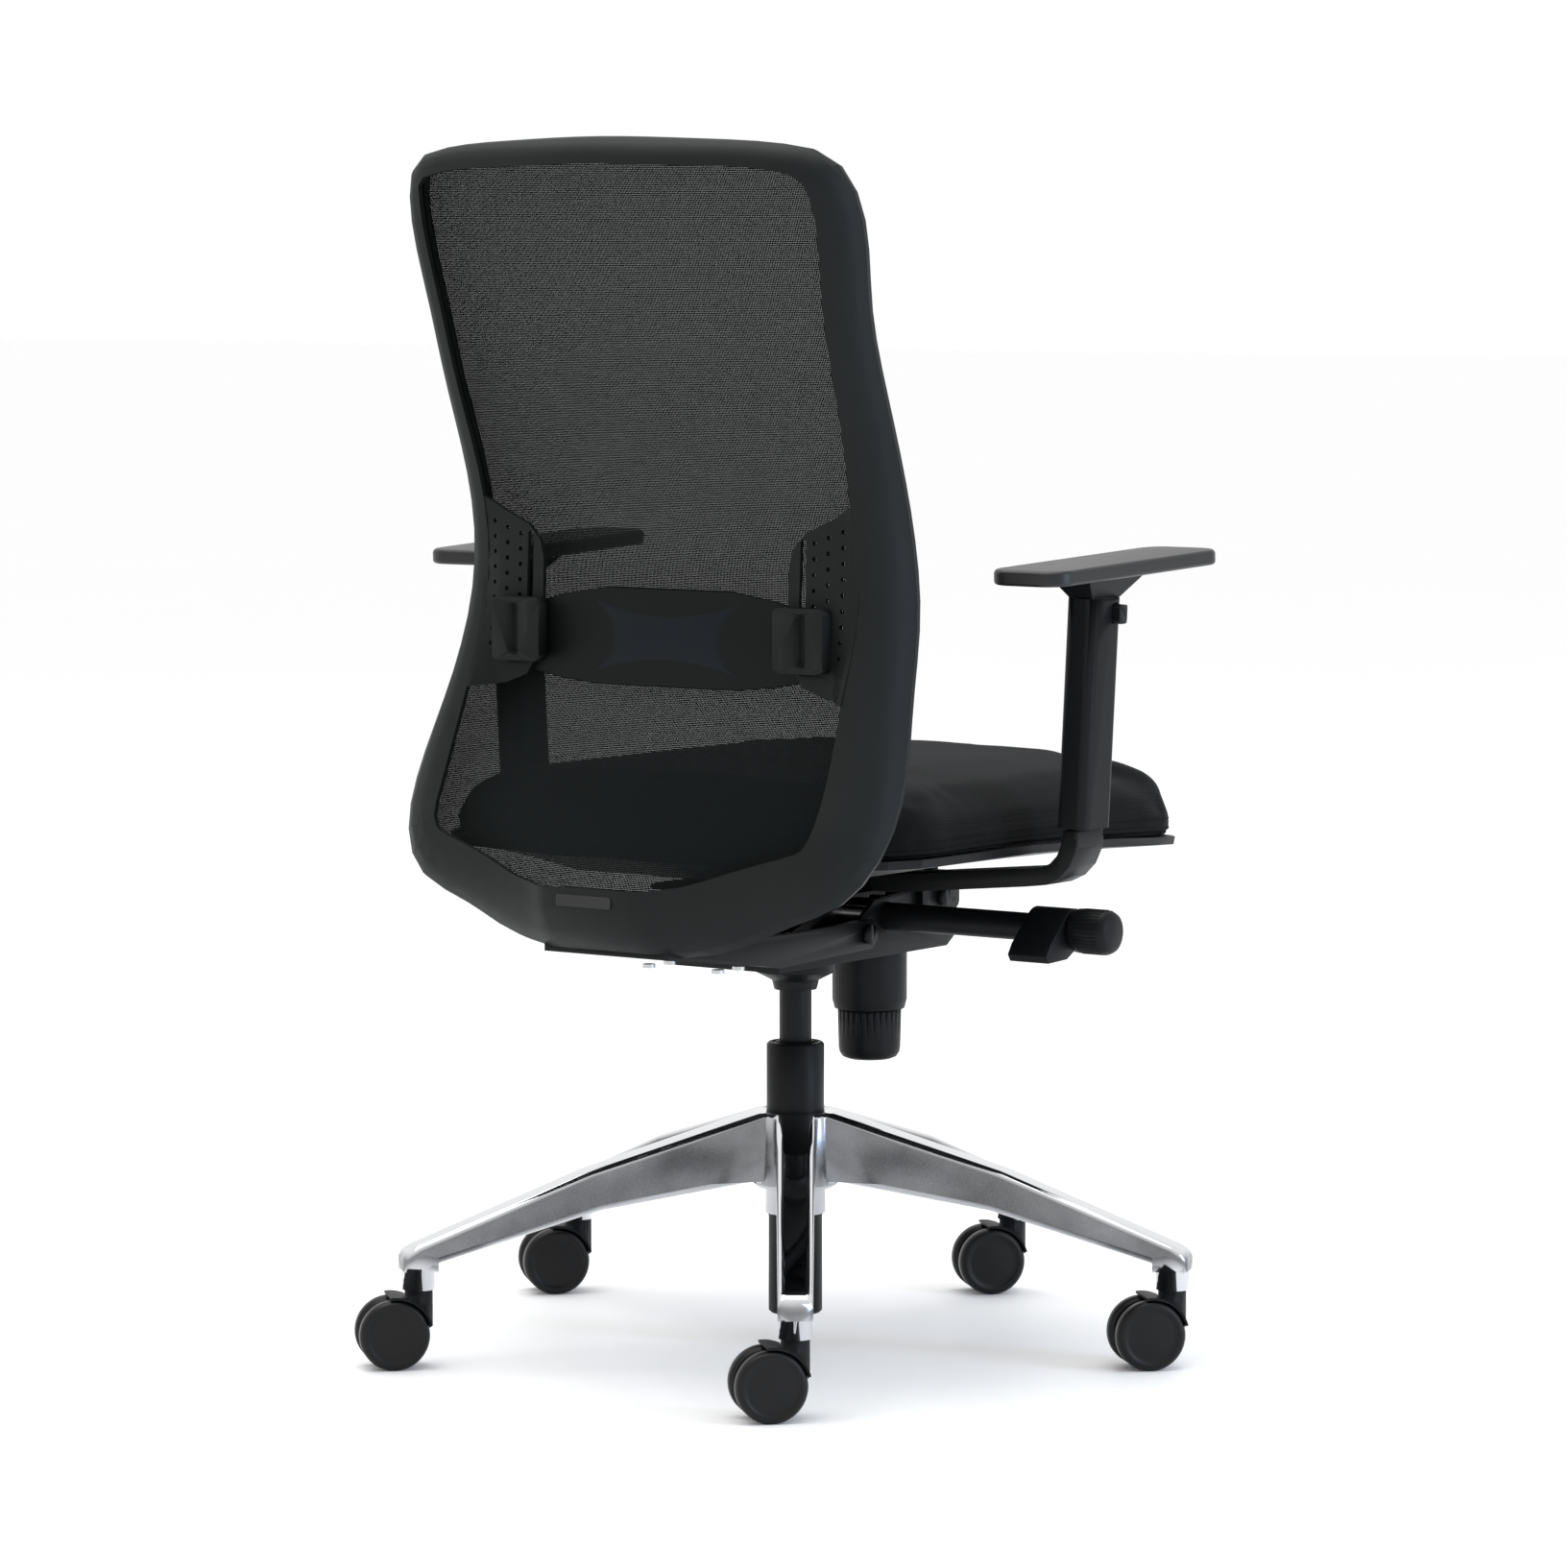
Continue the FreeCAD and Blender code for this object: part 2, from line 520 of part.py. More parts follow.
def pivot_pins():
    """Two headed stub pins for the yoke and a headed pin through the seat plate's ears."""
    pins = []
    head = PIVOT_HEAD_T
    for side in (-1, 1):
        start, reach = side * (HOUSING_HALF_W - PIVOT_BITE), side * (yoke_outer() + GAP)
        stub = rod(PIVOT_R, (start, RECLINE_Y, RECLINE_Z), (reach + side * head, RECLINE_Y, RECLINE_Z))
        cap = rod(PIVOT_HEAD_R, (reach, RECLINE_Y, RECLINE_Z), (reach + side * head, RECLINE_Y, RECLINE_Z))
        pins.append(fuse([stub, cap]))
    reach = ear_outer() + GAP
    through = rod(PIVOT_R, (-reach - head, TILT_Y, TILT_Z), (reach + head, TILT_Y, TILT_Z))
    caps = [rod(PIVOT_HEAD_R, (s * reach, TILT_Y, TILT_Z), (s * (reach + head), TILT_Y, TILT_Z)) for s in (-1, 1)]
    return Part.makeCompound(pins + [fuse([through] + caps)])


def yoke_outer():
    return HOUSING_HALF_W + 2 + YOKE_T


def ear_outer():
    return HOUSING_HALF_W + 2 + PLATE_T + 2


def back_yoke(frame, carrier):
    """Two cheeks on the recline pin and the bridge that carries the back frame."""
    inner, outer = HOUSING_HALF_W + 2, yoke_outer()
    bridge_front = HOUSING_REAR + 9
    cheek = prism([(inner, RECLINE_Y - 13, RECLINE_Z - 8), (inner, RECLINE_Y - 8, RECLINE_Z - 13),
                   (inner, bridge_front, RECLINE_Z - 17), (inner, bridge_front + 22, RECLINE_Z - 13),
                   (inner, bridge_front + 22, RECLINE_Z + 10), (inner, bridge_front, RECLINE_Z + 11),
                   (inner, RECLINE_Y + 10, RECLINE_Z + 12), (inner, RECLINE_Y - 8, RECLINE_Z + 12),
                   (inner, RECLINE_Y - 13, RECLINE_Z + 7)], (outer - inner, 0, 0))
    bridge = prism([(-outer, bridge_front, RECLINE_Z - 17), (-outer, bridge_front + 24, RECLINE_Z - 13),
                    (-outer, RIM_LOW[-1][1] + 14, RECLINE_Z + 5), (-outer, RIM_LOW[-1][1] + 14, RECLINE_Z + 15),
                    (-outer, bridge_front, RECLINE_Z + 11)], (2 * outer, 0, 0))
    yoke = fuse([cheek, mirrored(cheek), bridge])
    yoke = yoke.cut(rod(PIVOT_R + RUN, (-BEYOND, RECLINE_Y, RECLINE_Z), (BEYOND, RECLINE_Y, RECLINE_Z)))
    yoke = yoke.cut(frame).cut(carrier)
    return max(yoke.Solids, key=lambda s: s.Volume)


def lever_tube():
    tube = rod(LEVER_R, (LEVER_END, LEVER_Y, LEVER_Z), (-HOUSING_HALF_W + HOUSING_WALL + 6, LEVER_Y, LEVER_Z))
    return tube.cut(rod(SHAFT_R + RUN, (LEVER_END - 9, LEVER_Y, LEVER_Z), (0, LEVER_Y, LEVER_Z)))


def paddle_shaft():
    """Hollow shaft inside the lever tube, with the finger that presses the gas spring's valve."""
    shaft = rod(SHAFT_R, (PADDLE_OUT + 3, LEVER_Y, LEVER_Z), (9, LEVER_Y, LEVER_Z))
    tip = VALVE_TOP + GAP
    finger = prism([(-6, LEVER_Y, LEVER_Z - 6), (-6, LEVER_Y + 50, tip), (-6, LEVER_Y + 66, tip),
                    (-6, LEVER_Y + 66, tip + 6), (-6, LEVER_Y, LEVER_Z + 6)], (12, 0, 0))
    shaft = shaft.fuse(finger)
    return shaft.cut(rod(LOCK_ROD_R + RUN, (PADDLE_OUT - 9, LEVER_Y, LEVER_Z), (20, LEVER_Y, LEVER_Z)))


def height_paddle():
    """Collar on the shaft with a thumb paddle reaching back and down."""
    collar = rod(PADDLE_HUB_R, (PADDLE_OUT, LEVER_Y, LEVER_Z), (PADDLE_IN, LEVER_Y, LEVER_Z))
    out = PADDLE_OUT
    blade = prism([(out, LEVER_Y - 14, LEVER_Z - 11), (out, LEVER_Y + 14, LEVER_Z + 12),
                   (out, LEVER_Y + PADDLE_REACH - 6, LEVER_Z - 10), (out, LEVER_Y + PADDLE_REACH, LEVER_Z - 19),
                   (out, LEVER_Y + PADDLE_REACH - 4, LEVER_Z - 25), (out, LEVER_Y + 12, LEVER_Z - 24)],
                  (PADDLE_IN - PADDLE_OUT, 0, 0))
    paddle = collar.fuse(blade).removeSplitter()
    return paddle.cut(rod(SHAFT_R, (PADDLE_OUT - 9, LEVER_Y, LEVER_Z), (PADDLE_IN + 9, LEVER_Y, LEVER_Z)))


def lock_knob():
    """Round end knob and the rod that reaches through the paddle shaft to the recline lock."""
    inner = PADDLE_OUT - GAP - 1
    length = inner - LOCK_KNOB_OUT
    r = LOCK_KNOB_R
    knob = revolve([(0, 0), (r - 6, 0), (r - 2, 2), (r, 6), (r, length - 4), (r - 2, length), (0, length)])
    knob = about_x(knob, LEVER_Y, LEVER_Z, LOCK_KNOB_OUT)
    return knob.fuse(rod(LOCK_ROD_R, (inner - 5, LEVER_Y, LEVER_Z), (20, LEVER_Y, LEVER_Z)))


# ---------------------------------------------------------------- seat
def seat_half_width(y):
    """Half width of the seat's outline at a distance behind the column."""
    rear_centre = SEAT_REAR - SEAT_CORNER_R
    front_centre = SEAT_FRONT + SEAT_CORNER_R
    straight = SEAT_HALF_W - SEAT_CORNER_R
    past = max(y - rear_centre, front_centre - y, 0.0)
    return straight + math.sqrt(max(SEAT_CORNER_R ** 2 - past ** 2, 0.0))


def seat_edge_height(y):
    """Height of the cushion's lower edge, which drops at the waterfall front."""
    share = min(max((40 - y) / (40 - SEAT_FRONT), 0.0), 1.0)
    return SEAT_EDGE_Z - SEAT_DROP * share ** 1.6


def cushion_section(y):
    """Closed section across the cushion, fuller in the middle than at its front and rear ends."""
    half = seat_half_width(y)
    edge = seat_edge_height(y)
    from_front, from_rear = y - SEAT_FRONT, SEAT_REAR - y
    ends = min(from_front / 60.0, from_rear / 28.0, 1.0)
    rise = (SEAT_TOP - edge) * math.sqrt(max(1 - (1 - ends) ** 2, 0.02))
    top = edge + rise
    crown = SEAT_CROWN * ends
    points = [(half - 6, edge), (half, edge + 0.3 * rise), (half - 5, edge + 0.68 * rise), (half - 22, top - 4),
              (half * 0.5, top + 0.6 * crown), (0, top + crown)]
    right = [(x, y, z) for x, z in points]
    left = [(-x, y, z) for x, z in points[-2::-1]]
    return right + left


def seat_cushion():
    stations = [SEAT_FRONT + d for d in (0.5, 6, 20, 50, SEAT_CORNER_R, 170, 290, 400)]
    stations += [SEAT_REAR - d for d in (62, 34, 12, 3, 0.5)]
    return loft([cushion_section(y) for y in stations])


def shell_section(y, inset):
    half = seat_half_width(y) - 4 - inset
    edge = seat_edge_height(y) - GAP
    ends = min((y - SEAT_FRONT) / 90.0, (SEAT_REAR - y) / 70.0, 1.0)
    floor = edge - 8 - (SEAT_EDGE_Z - 8 - SHELL_FLOOR) * ends + inset
    floor = max(floor, SHELL_FLOOR + inset)
    flat = min(SHELL_FLAT_HALF_W, half - 40)
    lip = edge if inset == 0 else edge + 2
    half_points = [(half, lip), (half - 1.5, min(edge - 7 + inset, lip - 1)), (flat, floor)]
    return [(x, y, z) for x, z in half_points] + [(-x, y, z) for x, z in half_points[::-1]]


def seat_shell():
    """Thin dished shell under the cushion."""
    stations = [SEAT_FRONT + d for d in (8, 24, 50, SEAT_CORNER_R, 170, 290, 400)]
    stations += [SEAT_REAR - d for d in (62, 34, 16, 7)]
    outer = loft([shell_section(y, 0.0) for y in stations], ruled=True)
    inner_stations = [stations[0] + SHELL_WALL] + stations[1:-1] + [stations[-1] - SHELL_WALL]
    inner = loft([shell_section(y, SHELL_WALL) for y in inner_stations], ruled=True)
    shell = outer.cut(inner)
    return max(shell.Solids, key=lambda s: s.Volume)


def seat_plate():
    front = HOUSING_FRONT + 3
    plate = rounded_box(-PLATE_HALF_W, PLATE_HALF_W, front, PLATE_REAR, PLATE_BOTTOM, PLATE_BOTTOM + PLATE_T, 14)
    inner, outer = ear_outer() - PLATE_T - 1, ear_outer()
    ears = []
    for sign in (-1, 1):
        x0, x1 = sorted((sign * inner, sign * outer))
        ear = rounded_box(x0, x1, TILT_Y - 27, TILT_Y + 31, TILT_Z - 13, PLATE_BOTTOM + 1, 8, along="x")
        ears.append(ear.fuse(box(x0, x1, TILT_Y - 27, TILT_Y + 31, TILT_Z, PLATE_BOTTOM + 1)))
    plate = fuse([plate] + ears)
    return plate.cut(rod(PIVOT_R + RUN, (-BEYOND, TILT_Y, TILT_Z), (BEYOND, TILT_Y, TILT_Z)))


def seat_bolts():
    """Bolts through the plate and the arm brackets into the shell, heads underneath."""
    bolts = []
    for x in (-BRACKET_SCREW_X, BRACKET_SCREW_X):
        for y in (-BRACKET_SCREW_Y, BRACKET_SCREW_Y):
            shank = rod(SCREW_R, (x, y, PLATE_BOTTOM), (x, y, SHELL_FLOOR))
            bolts.append(shank.fuse(rod(SCREW_HEAD_R, (x, y, PLATE_BOTTOM - SCREW_HEAD_T), (x, y, PLATE_BOTTOM))))
    for x in (-SHELL_SCREW_X, SHELL_SCREW_X):
        for y in SHELL_SCREW_YS:
            shank = rod(SCREW_R, (x, y, PLATE_BOTTOM), (x, y, SHELL_FLOOR))
            washer = rod(WASHER_R, (x, y, PLATE_BOTTOM + PLATE_T), (x, y, SHELL_FLOOR))
            head = rod(SCREW_HEAD_R, (x, y, PLATE_BOTTOM - SCREW_HEAD_T), (x, y, PLATE_BOTTOM))
            bolts.append(fuse([shank, washer, head]))
    return Part.makeCompound(bolts)


# ---------------------------------------------------------------- armrests, built on the left side (+X)
def leaned(shape):
    """A piece built round the upright through (ARM_X, 0) tipped outwards to the post's lean."""
    return turned(shape, ARM_LEAN_DEG, centre=(ARM_X, 0, ARM_BASE_Z), axis=(0, 1, 0))


def arm_bracket():
    """Flat bar from under the seat that bends up into the sleeve and ends as its guide post."""
    half = BRACKET_W / 2
    t = BRACKET_T
    z0 = PLATE_BOTTOM + PLATE_T
    lean = math.tan(math.radians(ARM_LEAN_DEG))
    rise_x = SHELL_FLAT_HALF_W + 8
    turn_x = ARM_X + t / 2 - BRACKET_BEND_R
    turn_z = z0 + 14
    outer = BRACKET_BEND_R
    lower = [(BRACKET_ROOT_X, z0), (rise_x, z0), (turn_x - 8, turn_z - 1)]
    arc = [(turn_x + outer * math.sin(a), turn_z + outer - outer * math.cos(a))
           for a in (math.radians(d) for d in (15, 35, 55, 75))]
    up = [(ARM_X + t / 2, ARM_BASE_Z), (ARM_X - t / 2, ARM_BASE_Z)]
    inner_r = outer - t
    inner_arc = [(turn_x + inner_r * math.sin(a), turn_z + outer - inner_r * math.cos(a))
                 for a in (math.radians(d) for d in (75, 55, 35, 15))]
    upper = [(turn_x - 8, turn_z - 1 + t), (rise_x - 2, z0 + t), (BRACKET_ROOT_X, z0 + t)]
    outline = lower + arc + up + inner_arc + upper
    bar = prism([(x, -half, z) for x, z in outline], (0, BRACKET_W, 0))
    post = rounded_box(ARM_X - POST_T / 2, ARM_X + POST_T / 2, -POST_W / 2, POST_W / 2, ARM_BASE_Z - 4, POST_TOP, 3)
    knee = rounded_box(ARM_X - t / 2 - 0.3, ARM_X + t / 2, -half, half, ARM_BASE_Z - 6, SLEEVE_BOTTOM - 2, 3)
    bracket = fuse([bar, leaned(post), leaned(knee)])
    for y in (-BRACKET_SCREW_Y, BRACKET_SCREW_Y):
        hole = rod(SCREW_R, (BRACKET_SCREW_X, y, PLATE_BOTTOM - 22), (BRACKET_SCREW_X, y, SHELL_FLOOR + 20))
        bracket = bracket.cut(hole)
    return bracket


def arm_sleeve():
    """Outer sleeve that slides on the post, flaring into the pad's neck."""
    t, w = SLEEVE_T / 2, SLEEVE_W / 2
    sleeve = rounded_box(ARM_X - t, ARM_X + t, -w, w, SLEEVE_BOTTOM, SLEEVE_TOP, SLEEVE_CORNER_R)
    neck = loft([[(ARM_X - t + 4, -w + 3, SLEEVE_TOP - 1), (ARM_X + t - 4, -w + 3, SLEEVE_TOP - 1),
                  (ARM_X + t - 4, w - 3, SLEEVE_TOP - 1), (ARM_X - t + 4, w - 3, SLEEVE_TOP - 1)],
                 [(ARM_X - 24, -50, PAD_BOTTOM + 4), (ARM_X + 19, -50, PAD_BOTTOM + 4),
                  (ARM_X + 19, 40, PAD_BOTTOM + 4), (ARM_X - 24, 40, PAD_BOTTOM + 4)]], ruled=True)
    body = fuse([sleeve, neck])
    slack = SLEEVE_SLACK
    cavity = box(ARM_X - POST_T / 2 - slack, ARM_X + POST_T / 2 + slack, -POST_W / 2 - slack, POST_W / 2 + slack,
                 SLEEVE_BOTTOM - 1, SLEEVE_TOP - 6)
    pocket = box(ARM_X, ARM_X + 40, BUTTON_Y - BUTTON_W / 2 - GAP, BUTTON_Y + BUTTON_W / 2 + GAP,
                 BUTTON_Z - BUTTON_H / 2 - GAP, BUTTON_Z + BUTTON_H / 2 + GAP)
    body = leaned(body.cut(cavity).cut(pocket))
    ceiling = turned(box(0, 400, -200, 200, PAD_BOTTOM, PAD_BOTTOM + 40), -PAD_RISE_DEG, (0, 0, PAD_BOTTOM), (1, 0, 0))
    return body.cut(ceiling)


def arm_button():
    """Release tab that stands out of the sleeve's outer wall."""
    outer = ARM_X + SLEEVE_T / 2 + BUTTON_PROUD
    inner = ARM_X + POST_T / 2 + BUTTON_TRAVEL + 1
    button = rounded_box(inner, outer, BUTTON_Y - BUTTON_W / 2, BUTTON_Y + BUTTON_W / 2, BUTTON_Z - BUTTON_H / 2,
                         BUTTON_Z + BUTTON_H / 2, 2.5, along="x")
    return leaned(button)


def arm_pad():
    """Soft pad with a crowned top."""
    r = PAD_CORNER_R
    x0, x1 = PAD_X - PAD_W / 2, PAD_X + PAD_W / 2
    y0, y1 = PAD_REAR - PAD_L, PAD_REAR
    pad = rounded_box(x0, x1, y0, y1, PAD_BOTTOM, PAD_BOTTOM + PAD_T, r)
    top = [e for e in pad.Edges if abs(e.BoundBox.ZMin - PAD_BOTTOM - PAD_T) < 1e-6]
    pad = pad.makeFillet(PAD_TOP_EDGE_R, top)
    bottom = [e for e in pad.Edges if abs(e.BoundBox.ZMax - PAD_BOTTOM) < 1e-6]
    pad = pad.makeFillet(PAD_LOW_EDGE_R, bottom)
    pad = turned(pad, PAD_TOE_DEG, centre=(PAD_X, 0, 0))
    return turned(pad, -PAD_RISE_DEG, (0, 0, PAD_BOTTOM), (1, 0, 0))


# ---------------------------------------------------------------- back
def rim_stations():
    """Stations down one half of the back frame's rim: point on the rim, bar width and bar depth."""
    corner_x, corner_z = RIM_TOP_HALF_W - BACK_TOP_CORNER_R, BACK_TOP - BACK_CROWN - BACK_TOP_CORNER_R
    outline = [(0.0, BACK_TOP), (corner_x * 0.55, BACK_TOP - BACK_CROWN * 0.3)]
    for degrees in (88, 62, 36, 12):
        a = math.radians(degrees)
        outline.append((corner_x + BACK_TOP_CORNER_R * math.cos(a), corner_z + BACK_TOP_CORNER_R * math.sin(a)))
    keys = []
    for index, (x, z) in enumerate(outline):
        bow = RIM_TOP_BOW * (1 - (x / RIM_TOP_HALF_W) ** 2)
        y = RIM_TOP_Y + RIM_TOP_SLOPE * (z - corner_z) + bow
        share = max(index - 2, 0) / 4.0
        keys.append(((x, y, z), BAR_W_TOP + share * (BAR_W_SIDE - BAR_W_TOP),
                     BAR_D_TOP + share * (BAR_D_SIDE - BAR_D_TOP)))
    side_sizes = [(BAR_W_SIDE, BAR_D_SIDE), (BAR_W_SIDE + 1, BAR_D_SIDE + 1), (BAR_W_LUMBAR, BAR_D_LUMBAR), (BAR_W_LUMBAR + 3, BAR_D_LUMBAR + 1),
                  (BAR_W_LOW - 9, BAR_D_LOW + 2), (BAR_W_LOW, BAR_D_LOW)]
    keys += [(point, w, d) for point, (w, d) in zip(RIM_SIDE, side_sizes)]
    low_sizes = [(BAR_W_LOW, BAR_D_LOW * 0.75), (BAR_W_LOW + 2, BAR_D_LOW * 0.5), (BAR_W_LOW + 4, BAND_D * 0.5),
                 (BAND_W - 1, BAND_D * 0.65), (BAND_W, BAND_D * 0.8), (BAND_W, BAND_D - 3), (BAND_W, BAND_D)]
    keys += [(point, w, d) for point, (w, d) in zip(RIM_LOW, low_sizes)]
    return spread(keys)


def spread(keys):
    """More stations between the key ones, on smooth curves that cross the middle squarely."""
    lengths = [0.0]
    for (p, _, _), (q, _, _) in zip(keys, keys[1:]):
        lengths.append(lengths[-1] + (vec(*q) - vec(*p)).Length)
    path, sizes = Part.BSplineCurve(), Part.BSplineCurve()
    path.interpolate(Points=[vec(*p) for p, w, d in keys], Parameters=lengths,
                     InitialTangent=vec(1, 0, 0), FinalTangent=vec(-1, 0, 0))
    sizes.interpolate(Points=[vec(w, d, at) for (p, w, d), at in zip(keys, lengths)], Parameters=lengths)
    count = RIM_STATIONS
    stations = []
    for i in range(count + 1):
        at = lengths[-1] * i / count
        p, size = path.value(at), sizes.value(at)
        stations.append(((p.x, p.y, p.z), size.x, size.y))
    return stations


def inward(stations, index):
    """Unit direction in the XZ plane from the rim towards the opening."""
    if index == 0:
        return (0.0, -1.0)
    if index == len(stations) - 1:
        return (0.0, 1.0)
    (x0, _, z0), (x1, _, z1) = stations[index - 1][0], stations[index + 1][0]
    dx, dz = x1 - x0, z1 - z0
    length = math.hypot(dx, dz)
    return (dz / length, -dx / length)


def ring_half(section):
    """Loft one half of a ring round the back from a function of station values."""
    stations = rim_stations()
    wires = []
    for index, ((x, y, z), w, d) in enumerate(stations):
        nx, nz = inward(stations, index)
        wires.append([(x + nx * u, y + v, z + nz * u) for u, v in section(w, d)])
    return loft(wires, ruled=True)


def whole_ring(section):
    half = ring_half(section)
    other = fixed(mirrored(half))
    return fuse([half, other])


def frame_section(w, d):
    """L-shaped bar of even thickness: side wall at the rim, rounding over into the rear flange."""
    flange, wall = BACK_FLANGE_T, BACK_WALL_T
    turns = [(1 - math.cos(math.radians(a)), math.sin(math.radians(a))) for a in (0, 25, 50, 72)]
    outside = [(w * across, d * deep) for across, deep in turns]
    inside = [(wall + (w - wall) * across, (d - flange) * deep) for across, deep in turns]
    return outside + [(w, d), (w, d - flange)] + inside[::-1]


def carrier_section(w, d):
    return [(0, -GAP / 3), (CARRIER_W, -GAP / 3), (CARRIER_W, -CARRIER_D), (1.5, -CARRIER_D)]


def mesh_levels():
    """Heights of the mesh with its half width, its edge behind the column and its bow at the middle."""
    stations = rim_stations()
    inset = CARRIER_W - 1
    top_z = BACK_TOP - CARRIER_W
    low = RIM_LOW[-1][2] + BAND_W
    rows = [(low + 2, 128.0, 252.0, 42.0), (low + 20, 176.0, 245.0, 34.0), (low + 60, 205.0, 222.0, 24.0)]
    stretch = (BACK_TOP - MESH_EVEN_Z) / MESH_ROW_SPAN
    for rise in (0, 40, 80, 120, 160, 200, 250, 318, 380, 440):
        z = MESH_EVEN_Z + rise * stretch
        x, y = rim_at(stations, z)
        rows.append((z, x - inset, y - CARRIER_D + 1, mesh_bow(z)))
    for z in (BACK_TOP - BACK_TOP_CORNER_R - 1, BACK_TOP - BACK_TOP_CORNER_R / 2):
        x, y = rim_at(stations, z)
        rows.append((z, x - inset - 2, y - CARRIER_D + 1, mesh_bow(z)))
    x, y = rim_at(stations, BACK_TOP - 13)
    rows.append((top_z - 4, x - 26, y - CARRIER_D + 6, mesh_bow(top_z) - 4))
    return rows


def mesh_bow(z):
    """How far the middle of the mesh lies behind its edges."""
    near_lumbar = math.exp(-((z - 640.0) / 90.0) ** 2)
    return RIM_TOP_BOW - 14.0 * near_lumbar


def rim_at(stations, z):
    """The rim's half width and distance behind the column at a height, by straight runs between stations."""
    points = [s[0] for s in stations]
    for (x0, y0, z0), (x1, y1, z1) in zip(points, points[1:]):
        if z1 <= z <= z0 and z0 > z1:
            share = (z0 - z) / (z0 - z1)
            return x0 + share * (x1 - x0), y0 + share * (y1 - y0)
    return points[-1][0], points[-1][1]


def back_mesh():
    sections = []
    for z, half, edge, bow in mesh_levels():
        row = [(half * t, edge + bow * (1 - t * t)) for t in (1.0, 0.8, 0.5, 0.0, -0.5, -0.8, -1.0)]
        rear = [(x, y + MESH_T) for x, y in row[::-1]]
        sections.append([(x, y, z) for x, y in row + rear])
    return loft(sections, ruled=True)


def wing_bracket(frame):
    """Perforated wing on the frame's left bar, carrying the lumbar slider in its slot."""
    z0, z1 = LUMBAR_BOTTOM, LUMBAR_TOP
    inner, t = LUMBAR_INNER_X, LUMBAR_PLATE_T
    outer = WING_OUTER_X
    outline = [(outer, z0 - 4), (165, z0), (143, z0 + 8), (131, z0 + 26), (inner, z0 + 50), (inner, z1 - 50),
               (131, z1 - 35), (143, z1 - 22), (170, z1 - 10), (outer, z1 + 4)]
    plate = prism([(x, 100, z) for x, z in outline], (0, 200, 0))
    stations = rim_stations()
    sections = []
    for z in (z0 - 10, z0 + 15, z0 + 40, z0 + 65, z0 + 90, z0 + 115, z0 + 140, z1 + 10):
        edge, track = flange_y(stations, z) - 1, wing_y(z)
        rear = [(outer + 4, edge), (190, edge), (TRACK_OUTER_X, track), (inner - 4, track)]
        front = [(x, y - t) for x, y in rear[::-1]]
        sections.append([(x, y, z) for x, y in rear + front])
    plate = plate.common(loft(sections, ruled=True))
    slot = rounded_box(LUMBAR_SLOT_X - 3, LUMBAR_SLOT_X + 3, 100, 300, z0 + 18, z1 - 27, 2.9, along="y")
    plate = plate.cut(slot)
    holes = []
    for column, x in enumerate(HOLE_COLUMNS):
        for row in range(HOLE_ROWS):
            z = z1 - 30 + column * HOLE_STAGGER - row * HOLE_PITCH
            holes.append(rod(HOLE_R, (x, 100, z), (x, 300, z)))
    plate = plate.cut(Part.makeCompound(holes)).cut(frame)
    return max(plate.Solids, key=lambda s: s.Volume)


def flange_y(stations, z):
    """Rear face of the frame's side bar at a height."""
    points = [(p[2], p[1] + d) for p, w, d in stations]
    for (z0, y0), (z1, y1) in zip(points, points[1:]):
        if z1 <= z <= z0 and z0 > z1:
            return y0 + (z0 - z) / (z0 - z1) * (y1 - y0)
    return points[-1][1]


def wing_y(z):
    """Rear face of the wing bracket's straight track."""
    return TRACK_Y + TRACK_SLOPE * (z - LUMBAR_BOTTOM)


def lumbar_pad():
    """Curved band between the wings, in front of their plates and behind the mesh."""
    sections = []
    for z in (LUMBAR_PAD_BOTTOM, LUMBAR_PAD_BOTTOM + 27, LUMBAR_PAD_TOP - 27, LUMBAR_PAD_TOP):
        y = wing_y(z) - LUMBAR_PLATE_T - 2
        outer = LUMBAR_SLOT_X + 6
        row = [(outer, y), (outer * 0.6, y + 0.5), (0, y + 2), (-outer * 0.6, y + 0.5), (-outer, y)]
        front = [(x, v - 5) for x, v in row[::-1]]
        sections.append([(x, v, z) for x, v in row + front])
    pad = loft(sections)
    end, low, high = LUMBAR_SLOT_X + 7, LUMBAR_PAD_BOTTOM, LUMBAR_PAD_TOP
    half = [(0, low - 1), (end * 0.4, low - 1), (end * 0.75, low + 4), (end, low + 11), (end, high - 17),
            (end * 0.75, high - 7), (end * 0.4, high + 1), (0, high + 1)]
    outline = half + [(-x, z) for x, z in half[-2:0:-1]]
    return pad.common(prism([(x, 100, z) for x, z in outline], (0, 200, 0)))


def lumbar_grips():
    """Two finger grips behind the wings; a web through each slot joins them to the pad."""
    bottom, top = LUMBAR_BOTTOM + 20, LUMBAR_BOTTOM + 74
    y_low, y_high = wing_y(bottom), wing_y(top)
    back = max(y_low, y_high) + GAP
    x0, x1 = LUMBAR_SLOT_X - 20, LUMBAR_SLOT_X + 30
    grip = rounded_box(x0, x1, back, back + 12, bottom, top, 5, along="y")
    groove = rounded_box(x0 + 22, x0 + 33, back + 3, back + 20, bottom + 5, top - 5, 3, along="y")
    web = box(LUMBAR_SLOT_X - 2.5, LUMBAR_SLOT_X + 2.5, min(y_low, y_high) - LUMBAR_PLATE_T - 4, back + 1,
              bottom + 10, top - 10)
    grip = grip.cut(groove).fuse(web)
    grip = grip.cut(lumbar_pad())
    grip = max(grip.Solids, key=lambda s: s.Volume)
    return Part.makeCompound([grip, mirrored(grip)])


